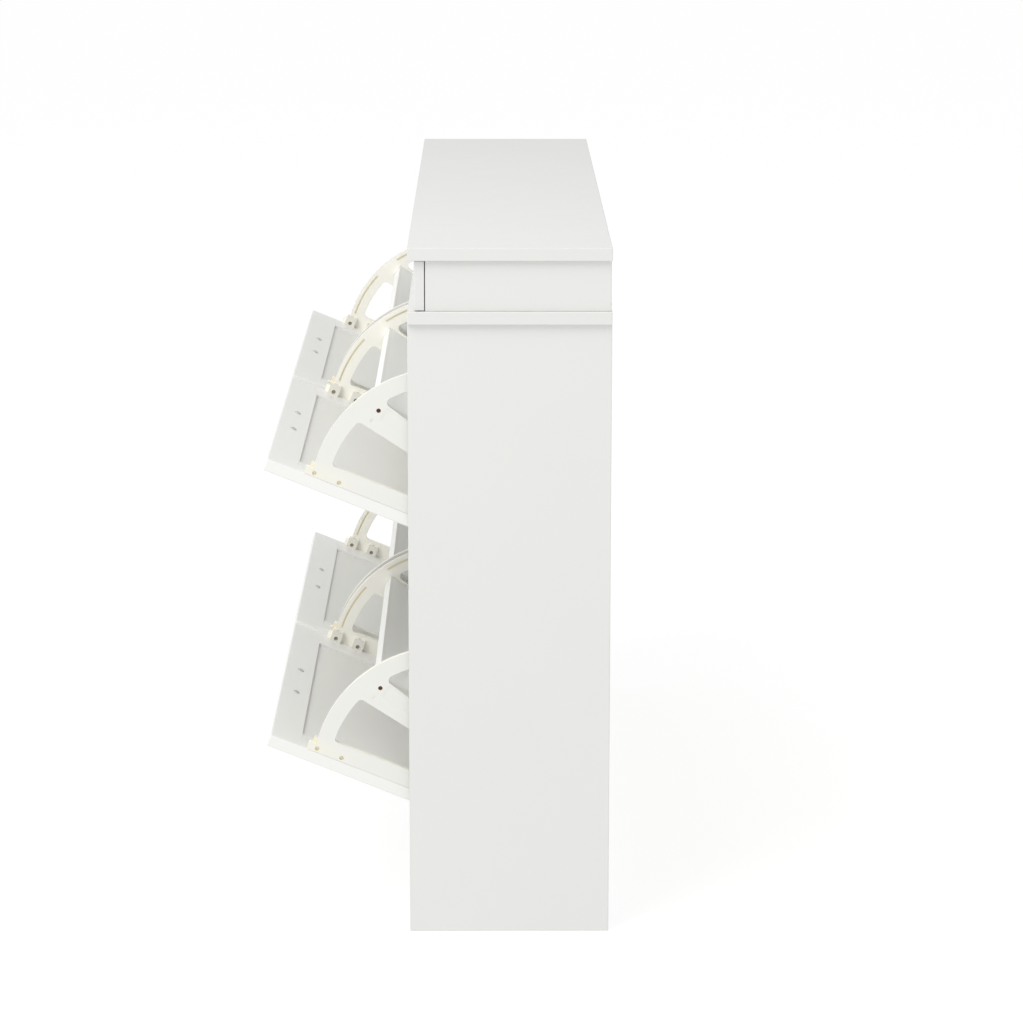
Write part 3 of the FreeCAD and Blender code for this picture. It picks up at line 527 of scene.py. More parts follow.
@dataclass(frozen=True)
class HardboardFinish(Finish):
    """Painted hardboard with a pressed screen pattern on its rear face."""

    rear_colour: Colour = (0.66, 0.62, 0.55)
    fibre_shade: float = 0.82
    screen_pitch: float = 1.4 * MM
    relief: float = 0.06 * MM

    def dress(self, coat: Coat) -> None:
        """Smooth painted front, and a meshed rear with loose fibres in it.

        Args:
            coat: The piece's coat.
        """
        sheet, look, point = coat.sheet, coat.look, coat.point
        rear = sheet.ramp(sheet.parts(coat.normal)[1], 0.3, 0.8)
        face = sheet.group(look.drift, {
            "Vector": point, "Colour": (*self.colour, 1.0), "Scale": 4.0, "Amount": 0.05,
        })
        fibres = sheet.noise(point, 420.0, 8.0)
        fibrous = sheet.mix(
            sheet.ramp(fibres, 0.42, 0.68), (*self.rear_colour, 1.0),
            tuple(self.fibre_shade * part for part in self.rear_colour) + (1.0,),
        )
        colour = sheet.mix(rear, face.outputs[0], fibrous)
        x, _, z = sheet.parts(point)
        waves = [
            sheet.maths("SINE", sheet.maths("MULTIPLY", way, 2.0 * math.pi / self.screen_pitch))
            for way in (x, z)
        ]
        screen = sheet.maths("MULTIPLY", sheet.maths("MULTIPLY", *waves), rear)
        texture = sheet.group(look.texture, {"Vector": point, "Scale": 700.0, "Coarse Share": 0.3})
        height = sheet.maths("ADD", sheet.maths("MULTIPLY", texture.outputs["Height"], 0.3), screen)
        roughness = self.vary(sheet, texture.outputs["Variation"], 0.15)
        self.connect(coat, colour, roughness, height, self.relief)


@dataclass(frozen=True)
class MouldedFinish(Finish):
    """Moulded plastic with a painted tone on its walls, painted shade in its sinkings and along its foot,
    and painted light on its inner faces.
    """

    # Walls (faces that don't face along X) get this colour in noisy patches as a painted tone. On the ivory
    # mouldings it is painted light, lighter and yellower than the faces. On the grey foot it is painted
    # shade, darker than the faces.
    wall_shading_colour: Colour = (0.92, 0.89, 0.79)
    # Painted shade in sinkings: yellowish in the deeper ones, dark brown in the shallow ones such as the
    # eyes.
    sunk_shade_colour: Colour = (0.86, 0.79, 0.58)
    eye_shade_colour: Colour = (0.3, 0.26, 0.2)
    # Painted light: the inner faces are coloured lighter than the outer faces.
    inner_lit_colour: Colour = (0.95, 0.935, 0.86)
    sunk_from: float = 1.1 * MM
    sunk_fade: float = 1.2
    eye_fade: tuple[float, float] = (2.0, 2.4)
    sunk_to: float = 0.0
    blur: float = 0.1 * MM
    # Yellowish painted shade along the foot beside the door; none while its amount is 0.
    foot_shade_colour: Colour = (0.83, 0.81, 0.7)
    foot_width: float = 24.0 * MM
    foot_fade: float = 0.3
    foot_length: float = 80.0 * MM
    foot_shade_amount: float = 0.0
    relief: float = 0.014 * MM

    def dress(self, coat: Coat) -> None:
        """Faces in the plastic's colour, with painted light and shade on walls, sinkings, foot and inner
        faces, and fine spark texture.

        Args:
            coat: The piece's coat.
        """
        sheet, look, point = coat.sheet, coat.look, coat.point
        across = sheet.maths("ABSOLUTE", sheet.parts(coat.normal)[0])
        wall = sheet.maths("SUBTRACT", 1.0, sheet.ramp(across, 0.25, 0.75))
        cloud = sheet.ramp(sheet.noise(point, 30.0, 3.0), 0.1, 0.6)
        face = sheet.group(look.drift, {
            "Vector": point, "Colour": (*self.colour, 1.0), "Scale": 22.0, "Amount": 0.03,
        })
        colour = face.outputs[0]
        # Yellowish painted shade on the bar along the door, near its upper end, in noisy patches.
        if self.foot_shade_amount > 0.0:
            foot = sheet.maths("MULTIPLY", self.foot_shade_mask(coat), cloud)
            foot = sheet.maths("MULTIPLY", foot, self.foot_shade_amount)
            colour = sheet.mix(foot, colour, (*self.foot_shade_colour, 1.0))
        # Painted tone on the walls in noisy patches: painted light on the ivory mouldings, painted shade on
        # the grey foot.
        colour = sheet.mix(sheet.maths("MULTIPLY", wall, cloud), colour, (*self.wall_shading_colour, 1.0))
        # Painted shade in the sinkings and painted light on the inner faces.
        if self.sunk_to > 0.0:
            colour = self.shade_sinkings(coat, across, colour)
        texture = sheet.group(look.texture, {"Vector": point, "Scale": 1600.0, "Coarse Share": 0.2})
        roughness = self.vary(sheet, texture.outputs["Variation"], 0.14)
        self.connect(coat, colour, roughness, texture.outputs["Height"], self.relief)

    def foot_shade_mask(self, coat: Coat) -> bpy.types.NodeSocket:
        """Mask of the yellowish painted shade on the bar along the door, near its upper end.

        Args:
            coat: The piece's coat.

        Returns:
            The mask.
        """
        sheet, high = coat.sheet, coat.place.high.z
        _, y, z = sheet.parts(coat.point)
        from_door = sheet.maths("SUBTRACT", y, coat.place.low.y)
        fade = sheet.ramp(from_door, self.foot_fade * self.foot_width, self.foot_width)
        upper = sheet.ramp(z, high - self.foot_length, high)
        return sheet.maths("MULTIPLY", sheet.maths("SUBTRACT", 1.0, fade), upper)

    def shade_sinkings(
        self, coat: Coat, across: bpy.types.NodeSocket, colour: bpy.types.NodeSocket,
    ) -> bpy.types.NodeSocket:
        """Paints shade on flat places that lie below the piece's outer faces, and paints light on its inner
        faces.

        Args:
            coat: The piece's coat.
            across: How far the surface faces along X.
            colour: The colour so far.

        Returns:
            The colour with painted shade and painted light.
        """
        sheet, place = coat.sheet, coat.place
        x = sheet.parts(coat.point)[0]
        off_middle = sheet.maths("ABSOLUTE", sheet.maths("SUBTRACT", x, place.centre.x))
        sunk_by = sheet.maths("SUBTRACT", place.half.x, off_middle)
        flat = sheet.ramp(across, 0.6, 0.95)
        deep = sheet.ramp(sunk_by, self.sunk_from, self.sunk_fade * self.sunk_from)
        beyond = sheet.ramp(sunk_by, self.sunk_to - self.blur, self.sunk_to + self.blur)
        eye_from, eye_to = (share * self.sunk_from for share in self.eye_fade)
        # Painted shade: dark brown in shallow sinkings, yellowish in deeper ones.
        floor = sheet.mix(
            sheet.ramp(sunk_by, eye_from, eye_to), (*self.eye_shade_colour, 1.0), (*self.sunk_shade_colour, 1.0)
        )
        colour = sheet.mix(sheet.maths("MULTIPLY", deep, flat), colour, floor)
        # Painted light on the inner faces, which lie in shade.
        return sheet.mix(sheet.maths("MULTIPLY", beyond, flat), colour, (*self.inner_lit_colour, 1.0))


@dataclass(frozen=True)
class MetalFinish(Finish):
    """Plated, brushed or cast metal."""

    dark_colour: Colour = (0.3, 0.29, 0.28)
    grain: Grain = Grain.ALONG_X
    grain_scale: float = 160.0
    tarnish: float = 0.3
    relief: float = 0.01 * MM

    def dress(self, coat: Coat) -> None:
        """Metal with brushing lines and faint tarnish.

        Args:
            coat: The piece's coat.
        """
        sheet, look, point = coat.sheet, coat.look, coat.point
        coat.shader.inputs["Metallic"].default_value = 1.0
        stretched = sheet.add("ShaderNodeMapping", {"Vector": point, "Scale": self.grain.value})
        lines = sheet.noise(stretched.outputs[0], self.grain_scale, 4.0)
        texture = sheet.group(look.texture, {"Vector": point, "Scale": 1100.0, "Coarse Share": 0.5})
        spots = sheet.ramp(sheet.noise(point, 90.0, 6.0), 0.5, 0.78)
        colour = sheet.mix(
            sheet.maths("MULTIPLY", spots, self.tarnish), (*self.colour, 1.0), (*self.dark_colour, 1.0)
        )
        roughness = sheet.maths(
            "ADD", self.vary(sheet, texture.outputs["Variation"], 0.15),
            sheet.maths("MULTIPLY", sheet.maths("SUBTRACT", lines, 0.5), 0.2),
        )
        self.connect(coat, colour, roughness, lines, self.relief)


@dataclass(frozen=True)
class WoodFinish(Finish):
    """Plain straight-grained wood."""

    dark_colour: Colour = (0.5, 0.36, 0.22)
    grain: Grain = Grain.ALONG_Y
    figure: float = 0.6
    relief: float = 0.05 * MM

    def dress(self, coat: Coat) -> None:
        """Long streaks with short dark flecks.

        Args:
            coat: The piece's coat.
        """
        sheet, look, point = coat.sheet, coat.look, coat.point
        stretched = sheet.add("ShaderNodeMapping", {"Vector": point, "Scale": self.grain.value})
        streaks = sheet.noise(stretched.outputs[0], 28.0, 8.0)
        flecks = sheet.ramp(sheet.noise(stretched.outputs[0], 110.0, 2.0), 0.6, 0.72)
        figure = sheet.maths("ADD", sheet.ramp(streaks, 0.3, 0.8), sheet.maths("MULTIPLY", flecks, 0.4))
        colour = sheet.mix(
            sheet.maths("MULTIPLY", figure, self.figure), (*self.colour, 1.0), (*self.dark_colour, 1.0)
        )
        texture = sheet.group(look.texture, {"Vector": point, "Scale": 800.0, "Coarse Share": 0.4})
        roughness = self.vary(sheet, texture.outputs["Variation"], 0.2)
        self.connect(coat, colour, roughness, streaks, self.relief)


MELAMINE = BoardFinish(
    "white_melamine", "white_board", (0.728, 0.728, 0.711), 0.38, band_colour=(0.72, 0.72, 0.703), dust=0.05
)
# The shelves use the carcass boards' white, painted much lighter: painted light in the shaded insides of
# the flaps.
SHELF_LIT_BOARD = BoardFinish(
    "white_board_lit_shelf", "white_board", (0.89, 0.875, 0.83), 0.4, band_colour=(0.92, 0.92, 0.9), dust=0.0
)
DOOR_LACQUER = BoardFinish(
    "white_lacquer", "white_door", (0.815, 0.813, 0.79), 0.33, band_colour=(0.815, 0.813, 0.79),
    band=0.5 * MM, relief_scale=420.0, relief=0.02 * MM, wear=0.18, dust=0.0,
)
# The door panels use the door lacquer painted darker and yellower: painted shade in the panels' recess.
PANEL_SHADED_LACQUER = BoardFinish(
    "white_lacquer_shaded_panel", "white_door", (0.76, 0.758, 0.728), 0.36, band_colour=(0.76, 0.758, 0.728),
    relief_scale=420.0, relief=0.02 * MM, wear=0.0, dust=0.0,
)
LINER = BoardFinish("drawer_foil", "drawer_liner", (0.75, 0.75, 0.73), 0.45, wear=0.1, dust=0.05)
HARDBOARD = HardboardFinish("painted_hardboard", "white_hardboard", (0.74, 0.74, 0.72), 0.6)
# The ivory mouldings carry painted light on their walls and inner faces, and painted shade in their
# sinkings and along the foot.
BRACKET_PLASTIC = MouldedFinish(
    "ivory_moulding", "bracket_plastic", (0.77, 0.77, 0.732), 0.36, sunk_to=7.75 * MM, foot_shade_amount=0.8
)
PEG_PLASTIC = MouldedFinish("ivory_peg", "peg_plastic", (0.8, 0.79, 0.74), 0.42)
# The grey foot's darker wall colour is painted shade on its walls.
FOOT_PLASTIC = MouldedFinish(
    "grey_foot", "foot_plastic", (0.5, 0.5, 0.49), 0.5, wall_shading_colour=(0.44, 0.44, 0.43)
)
NICKEL = MetalFinish("satin_nickel", "handle_metal", (0.66, 0.64, 0.6), 0.27, tarnish=0.12)
ZINC = MetalFinish("zinc_plate", "screw_steel", (0.76, 0.75, 0.73), 0.42, tarnish=0.15)
# Shelf screws sunk in the brackets' holes. Their very dark brown is partly the screws' bronze and partly
# painted shade of the deep holes.
BRONZE_AND_HOLE_SHADE = MetalFinish(
    "bronze_and_hole_shade", "screw_steel", (0.2, 0.09, 0.06), 0.42, dark_colour=(0.06, 0.03, 0.02)
)
PIN_STEEL = MetalFinish("pin_steel", "pin_steel", (0.62, 0.61, 0.58), 0.3)
CAM_METAL = MetalFinish("die_cast_zinc", "cam_zinc", (0.5, 0.5, 0.49), 0.5, grain_scale=60.0)
BEECH = WoodFinish("raw_beech", "beech_dowel", (0.72, 0.58, 0.4), 0.6, grain=Grain.ALONG_Z)
RUNNER_WOOD = WoodFinish(
    "coated_runner", "runner_wood", (0.76, 0.75, 0.72), 0.45, dark_colour=(0.66, 0.63, 0.57), figure=0.35
)


# --- Repeated fittings ---
STEPS_PER_THREAD = 4.0
TIP_SHARE = 0.15  # width left at a screw's tip
ARM_LENGTH_SHARE = 1.05  # driver recess, of the head's radius
ARM_WIDTH_SHARE = 0.24
RECESS_DEPTH_SHARE = 0.6  # of the head's height
THREAD_DEPTH_SHARE = 0.18  # of the shaft's radius
HANDLE_HEAD_FROM = 7.5 * MM  # wider heads belong to handle screws


class ScrewTree:
    """Sets a screw on each vertex of a mesh, its head along the vertex's aim."""

    def __init__(self) -> None:
        """Builds the tree."""
        self.tree = self._build()

    def _build(self) -> bpy.types.NodeTree:
        """Domed head with a recess, threaded shaft and tip, instanced on the vertices.

        Returns:
            The tree.
        """
        sheet = GroupSheet(
            "screws_on_points", "GeometryNodeTree",
            {
                "Geometry": ("Geometry", None),
                "Head Radius": ("Float", 0.0034),
                "Head Height": ("Float", 0.0022),
                "Dome": ("Float", 0.0008),
                "Shaft Radius": ("Float", 0.0018),
                "Shaft Length": ("Float", 0.02),
                "Thread Pitch": ("Float", 0.0018),
                "Thread Depth": ("Float", 0.0004),
                "Tip Length": ("Float", 0.003),
                "Long Arm": ("Float", 0.0036),
                "Short Arm": ("Float", 0.0036),
                "Arm Width": ("Float", 0.0009),
                "Recess Depth": ("Float", 0.0013),
                "Seed": ("Int", 3),
                "Finish": ("Material", None),
            },
            {"Geometry": "Geometry"},
        )
        given = sheet.given
        head = self._head(sheet)
        shaft = self._shaft(sheet)
        screw = sheet.add("GeometryNodeJoinGeometry", {0: [head, shaft]}).outputs[0]
        aim = sheet.add("GeometryNodeInputNamedAttribute", {"Name": "aim"}, data_type="FLOAT_VECTOR")
        turned = sheet.add(
            "FunctionNodeAlignRotationToVector", {"Vector": aim.outputs["Attribute"]}, axis="Z"
        )
        placed = sheet.add("GeometryNodeInstanceOnPoints", {
            "Points": given["Geometry"], "Instance": screw, "Rotation": turned.outputs[0],
        })
        spin = sheet.add("FunctionNodeRandomValue", {"Seed": given["Seed"]}, data_type="FLOAT")
        spin.inputs[2].default_value = 0.0
        spin.inputs[3].default_value = math.pi
        turn = sheet.add("ShaderNodeCombineXYZ", {"Z": spin.outputs[1]})
        spun = sheet.add(
            "GeometryNodeRotateInstances", {"Instances": placed.outputs[0], "Rotation": turn.outputs[0]}
        )
        return sheet.deliver(spun.outputs[0])

    def _head(self, sheet: GroupSheet) -> bpy.types.NodeSocket:
        """Domed head standing on the plane z = 0, with its recess cut.

        Args:
            sheet: The screw's tree.

        Returns:
            The head.
        """
        given = sheet.given
        blank = sheet.add("GeometryNodeMeshCylinder", {
            "Vertices": 24, "Side Segments": 1, "Fill Segments": 4,
            "Radius": given["Head Radius"], "Depth": given["Head Height"],
        }, fill_type="TRIANGLE_FAN")
        lift = sheet.add("ShaderNodeCombineXYZ", {"Z": sheet.maths("MULTIPLY", given["Head Height"], 0.5)})
        raised = sheet.add(
            "GeometryNodeTransform", {"Geometry": blank.outputs[0], "Translation": lift.outputs[0]}
        )
        x, y, z = sheet.parts(sheet.add("GeometryNodeInputPosition").outputs[0])
        square = sheet.maths("ADD", sheet.maths("MULTIPLY", x, x), sheet.maths("MULTIPLY", y, y))
        rim = sheet.maths("MULTIPLY", given["Head Radius"], given["Head Radius"])
        sag = sheet.maths("MULTIPLY", sheet.maths("DIVIDE", square, rim), given["Dome"])
        drop = sheet.add("ShaderNodeCombineXYZ", {"Z": sheet.maths("MULTIPLY", sag, -1.0)})
        top = sheet.maths("GREATER_THAN", z, sheet.maths("MULTIPLY", given["Head Height"], 0.6))
        domed = sheet.add("GeometryNodeSetPosition", {
            "Geometry": raised.outputs[0], "Selection": top, "Offset": drop.outputs[0],
        })
        arms = []
        for along, across in (("Long Arm", "Arm Width"), ("Arm Width", "Short Arm")):
            deep = sheet.maths("MULTIPLY", given["Recess Depth"], 2.0)
            size = sheet.add("ShaderNodeCombineXYZ", {"X": given[along], "Y": given[across], "Z": deep})
            bar = sheet.add("GeometryNodeMeshCube", {"Size": size.outputs[0]})
            level = sheet.add("ShaderNodeCombineXYZ", {"Z": given["Head Height"]})
            arms.append(sheet.add(
                "GeometryNodeTransform", {"Geometry": bar.outputs[0], "Translation": level.outputs[0]}
            ).outputs[0])
        cut = sheet.add(
            "GeometryNodeMeshBoolean", {"Mesh 1": domed.outputs[0], "Mesh 2": arms},
            operation="DIFFERENCE", solver="EXACT",
        )
        return cut.outputs[0]

    def _shaft(self, sheet: GroupSheet) -> bpy.types.NodeSocket:
        """Threaded shaft under the plane z = 0, drawn in to a tip.

        Args:
            sheet: The screw's tree.

        Returns:
            The shaft.
        """
        given = sheet.given
        threads = sheet.maths("DIVIDE", given["Shaft Length"], given["Thread Pitch"])
        steps = sheet.maths("MULTIPLY", threads, STEPS_PER_THREAD)
        blank = sheet.add("GeometryNodeMeshCylinder", {
            "Vertices": 10, "Side Segments": steps, "Fill Segments": 1,
            "Radius": given["Shaft Radius"], "Depth": given["Shaft Length"],
        }, fill_type="NGON")
        fall = sheet.maths("MULTIPLY", given["Shaft Length"], -0.5)
        lower = sheet.add("ShaderNodeCombineXYZ", {"Z": fall})
        hung = sheet.add(
            "GeometryNodeTransform", {"Geometry": blank.outputs[0], "Translation": lower.outputs[0]}
        )
        position = sheet.add("GeometryNodeInputPosition").outputs[0]
        x, y, z = sheet.parts(position)
        turn = sheet.maths("DIVIDE", sheet.maths("ARCTAN2", y, x), 2.0 * math.pi)
        turns = sheet.maths("ADD", turn, sheet.maths("DIVIDE", z, given["Thread Pitch"]))
        saw = sheet.maths("PINGPONG", turns, 0.5)
        groove = sheet.maths("MULTIPLY", sheet.maths("MULTIPLY", saw, 2.0), given["Thread Depth"])
        keep = sheet.maths("SUBTRACT", 1.0, sheet.maths("DIVIDE", groove, given["Shaft Radius"]))
        from_tip = sheet.maths("ADD", z, given["Shaft Length"])
        taper = sheet.add("ShaderNodeMapRange", {
            "Value": from_tip, "From Min": 0.0, "From Max": given["Tip Length"], "To Min": TIP_SHARE,
        })
        share = sheet.maths("MULTIPLY", keep, taper.outputs[0])
        shaped = sheet.add("ShaderNodeCombineXYZ", {
            "X": sheet.maths("MULTIPLY", x, share), "Y": sheet.maths("MULTIPLY", y, share), "Z": z,
        })
        return sheet.add(
            "GeometryNodeSetPosition", {"Geometry": hung.outputs[0], "Position": shaped.outputs[0]}
        ).outputs[0]


class NailTree:
    """Drives flat-headed nails at even spacing along the edges of a mesh."""

    def __init__(self) -> None:
        """Builds the tree."""
        self.tree = self._build()

    def _build(self) -> bpy.types.NodeTree:
        """Nail heads on points along the outline.

        Returns:
            The tree.
        """
        sheet = GroupSheet(
            "nails_along_outline", "GeometryNodeTree",
            {
                "Geometry": ("Geometry", None),
                "Spacing": ("Float", 0.1),
                "Head Radius": ("Float", 0.002),
                "Head Height": ("Float", 0.0006),
                "Stray": ("Float", 0.001),
                "Facing": ("Vector", (0.0, 1.0, 0.0)),
                "Seed": ("Int", 7),
                "Finish": ("Material", None),
            },
            {"Geometry": "Geometry"},
        )
        given = sheet.given
        outline = sheet.add("GeometryNodeMeshToCurve", {"Mesh": given["Geometry"]})
        points = sheet.add("GeometryNodeCurveToPoints", mode="LENGTH")
        sheet.tree.links.new(outline.outputs[0], points.inputs["Curve"])
        sheet.tree.links.new(given["Spacing"], points.inputs["Length"])
        stray = sheet.add("FunctionNodeRandomValue", {"Seed": given["Seed"]}, data_type="FLOAT_VECTOR")
        stray.inputs[0].default_value = (-1.0, 0.0, -1.0)
        stray.inputs[1].default_value = (1.0, 0.0, 1.0)
        offset = sheet.add(
            "ShaderNodeVectorMath", {0: stray.outputs[0], 3: given["Stray"]}, operation="SCALE"
        )
        moved = sheet.add(
            "GeometryNodeSetPosition", {"Geometry": points.outputs[0], "Offset": offset.outputs[0]}
        )
        head = sheet.add("GeometryNodeMeshCone", {
            "Vertices": 12, "Radius Top": sheet.maths("MULTIPLY", given["Head Radius"], 0.82),
            "Radius Bottom": given["Head Radius"], "Depth": given["Head Height"],
        })
        turned = sheet.add("FunctionNodeAlignRotationToVector", {"Vector": given["Facing"]}, axis="Z")
        placed = sheet.add("GeometryNodeInstanceOnPoints", {
            "Points": moved.outputs[0], "Instance": head.outputs[0], "Rotation": turned.outputs[0],
        })
        return sheet.deliver(placed.outputs[0])


class HandleTree:
    """Sweeps a round bar along a bent path, with a wider foot at each end."""

    def __init__(self) -> None:
        """Builds the tree."""
        self.tree = self._build()

    def _build(self) -> bpy.types.NodeTree:
        """Path with rounded corners, swept by a circle that widens at the feet.

        Returns:
            The tree.
        """
        sheet = GroupSheet(
            "bow_handle", "GeometryNodeTree",
            {
                "Geometry": ("Geometry", None),
                "Bar Radius": ("Float", 0.0045),
                "Bend Radius": ("Float", 0.012),
                "Foot Share": ("Float", 1.5),
                "Foot Length": ("Float", 0.004),
                "Step": ("Float", 0.0012),
                "Finish": ("Material", None),
            },
            {"Geometry": "Geometry"},
        )
        given = sheet.given
        path = sheet.add("GeometryNodeMeshToCurve", {"Mesh": given["Geometry"]})
        bent = sheet.add("GeometryNodeFilletCurve", mode="POLY")
        sheet.tree.links.new(path.outputs[0], bent.inputs["Curve"])
        sheet.tree.links.new(given["Bend Radius"], bent.inputs["Radius"])
        bent.inputs["Count"].default_value = 14
        even = sheet.add("GeometryNodeResampleCurve", mode="LENGTH")
        sheet.tree.links.new(bent.outputs[0], even.inputs["Curve"])
        sheet.tree.links.new(given["Step"], even.inputs["Length"])
        along = sheet.add("GeometryNodeSplineParameter").outputs["Length"]
        whole = sheet.add("GeometryNodeSplineLength").outputs["Length"]
        from_end = sheet.maths("MINIMUM", along, sheet.maths("SUBTRACT", whole, along))
        waist = sheet.add("ShaderNodeMapRange", {
            "Value": from_end, "From Min": sheet.maths("MULTIPLY", given["Foot Length"], 0.4),
            "From Max": given["Foot Length"], "To Min": given["Foot Share"], "To Max": 1.0,
        }, interpolation_type="SMOOTHSTEP")
        circle = sheet.add(
            "GeometryNodeCurvePrimitiveCircle", {"Resolution": 28, "Radius": given["Bar Radius"]}
        )
        bar = sheet.add("GeometryNodeCurveToMesh", {
            "Curve": even.outputs[0], "Profile Curve": circle.outputs[0],
            "Scale": waist.outputs[0], "Fill Caps": True,
        })
        return sheet.deliver(bar.outputs[0])


# --- Mesh work ---
SOLID_MERGE = 0.001 * MM
FACE_MERGE = 0.002 * MM
FLAT_WITHIN = math.radians(0.8)
SHARP_FROM = math.radians(40.0)


def link(name: str, mesh: bpy.types.Mesh) -> bpy.types.Object:
    """Puts a mesh in the scene as an object at the origin.

    Args:
        name: The object's name.
        mesh: Its mesh.

    Returns:
        The object.
    """
    piece = bpy.data.objects.new(name, mesh)
    bpy.context.scene.collection.objects.link(piece)
    return piece


def smooth(mesh: bpy.types.Mesh, degrees: float = 32.0) -> None:
    """Smooths a mesh except over edges sharper than an angle, and turns it outwards.

    Args:
        mesh: The mesh.
        degrees: The angle.
    """
    shape = bmesh.new()
    shape.from_mesh(mesh)
    if shape.calc_volume(signed=True) < 0.0:
        bmesh.ops.reverse_faces(shape, faces=shape.faces)
    shape.to_mesh(mesh)
    shape.free()
    mesh.shade_smooth()
    mesh.set_sharp_from_angle(angle=math.radians(degrees))


def grow(name: str, tree: bpy.types.NodeTree, seed: bpy.types.Mesh, values: dict) -> bpy.types.Object:
    """Runs a geometry tree on a seed mesh and keeps the result as a plain mesh.

    Args:
        name: The new piece's name.
        tree: The geometry tree.
        seed: The mesh that the tree starts from.
        values: Input name to value.

    Returns:
        The new piece.
    """
    stem = link(name + "_stem", seed)
    modifier = stem.modifiers.new("grow", "NODES")
    modifier.node_group = tree
    for item in tree.interface.items_tree:
        if item.in_out == "INPUT" and item.name in values:
            modifier[item.identifier] = values[item.name]
    depsgraph = bpy.context.evaluated_depsgraph_get()
    mesh = bpy.data.meshes.new_from_object(stem.evaluated_get(depsgraph), depsgraph=depsgraph)
    bpy.data.objects.remove(stem)
    smooth(mesh)
    return link(name, mesh)


def points_with_aims(name: str, places: list[tuple[Vector, Vector]]) -> bpy.types.Mesh:
    """Mesh of loose vertices, each with the way that its screw's head faces.

    Args:
        name: The mesh's name.
        places: Seat and aim of each screw's head.

    Returns:
        The mesh.
    """
    mesh = bpy.data.meshes.new(name)
    mesh.from_pydata([tuple(point) for point, _ in places], [], [])
    aims = mesh.attributes.new("aim", "FLOAT_VECTOR", "POINT")
    aims.data.foreach_set("vector", [part for _, aim in places for part in aim])
    return mesh


def outline(name: str, points: list[Vector], closed: bool) -> bpy.types.Mesh:
    """Mesh of edges from point to point.

    Args:
        name: The mesh's name.
        points: The points in order.
        closed: Whether the last point joins the first.

    Returns:
        The mesh.
    """
    mesh = bpy.data.meshes.new(name)
    edges = [(index, index + 1) for index in range(len(points) - 1)]
    if closed:
        edges.append((len(points) - 1, 0))
    mesh.from_pydata([tuple(point) for point in points], edges, [])
    return mesh


def islands(node: str) -> list[list[Vector]]:
    """Vertices of each separate solid of a frame node.

    Args:
        node: The frame node.

    Returns:
        One list of points for each solid, in the order of their lowest corners.
    """
    shape = bmesh.new()
    shape.from_mesh(frame["nodes"][node].data)
    bmesh.ops.remove_doubles(shape, verts=shape.verts, dist=SOLID_MERGE)
    left = set(shape.verts)
    found = []
    while left:
        stack = [left.pop()]
        part = list(stack)
        while stack:
            for edge in stack.pop().link_edges:
                for vertex in edge.verts:
                    if vertex in left:
                        left.discard(vertex)
                        stack.append(vertex)
                        part.append(vertex)
        found.append([vertex.co.copy() for vertex in part])
    shape.free()
    found.sort(key=lambda points: [min(point[axis] for point in points) for axis in range(3)])
    return found


def bevelled_copy(name: str, node: str, width: float) -> bpy.types.Object:
    """Copy of a frame node with merged faces and small rounded edges.

    Args:
        name: The new piece's name.
        node: The frame node.
        width: Width of the rounding.

    Returns:
        The new piece, not yet dressed.
    """
    mesh = bpy.data.meshes.new(name)
    shape = bmesh.new()
    shape.from_mesh(frame["nodes"][node].data)
    bmesh.ops.remove_doubles(shape, verts=shape.verts, dist=FACE_MERGE)
    bmesh.ops.dissolve_limit(shape, angle_limit=FLAT_WITHIN, verts=shape.verts, edges=shape.edges)
    sharp = [
        edge for edge in shape.edges
        if edge.is_manifold and edge.calc_face_angle(0.0) > SHARP_FROM
    ]
    bmesh.ops.bevel(
        shape, geom=sharp, offset=width, offset_type="OFFSET", segments=2, profile=0.5,
        affect="EDGES", clamp_overlap=True,
    )
    bmesh.ops.triangulate(shape, faces=[face for face in shape.faces if len(face.verts) > 4])
    shape.to_mesh(mesh)
    shape.free()
    smooth(mesh)
    piece = link(name, mesh)
    weighted = piece.modifiers.new("even_shading", "WEIGHTED_NORMAL")
    weighted.keep_sharp = True
    depsgraph = bpy.context.evaluated_depsgraph_get()
    piece.data = bpy.data.meshes.new_from_object(piece.evaluated_get(depsgraph), depsgraph=depsgraph)
    piece.modifiers.clear()
    return piece


# --- Workshop ---
@dataclass
class Workshop:
    """Shared groups and trees, and the ways to dress and place pieces."""

    look: SharedLook = field(default_factory=SharedLook)
    screws: ScrewTree = field(default_factory=ScrewTree)
    nails: NailTree = field(default_factory=NailTree)
    handles: HandleTree = field(default_factory=HandleTree)

    def dress_node(self, node: str, finish: Finish, swing: Swing = FIXED) -> None:
        """Gives a frame node its finish.

        Args:
            node: The frame node.
            finish: Its finish.
            swing: How the node's body is turned.
        """
        target = frame["nodes"][node]
        target.data.materials.clear()
        target.data.materials.append(finish.material(self.look, node, Place.of_node(node, swing)))
        LOG.info("dressed %s in %s", node, finish.label)

    def settle(self, piece: bpy.types.Object, body: str, finish: Finish, *nodes: str) -> None:
        """Rides a piece on its body and hides the nodes that it stands for.

        Args:
            piece: The piece.
            body: The body that it rides on.
            finish: Not used.
            nodes: Frame nodes that it stands for.
        """
        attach(piece, body)
        if nodes:
            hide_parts(*nodes)
        LOG.info("placed %s on %s, %d faces", piece.name, body, len(piece.data.polygons))


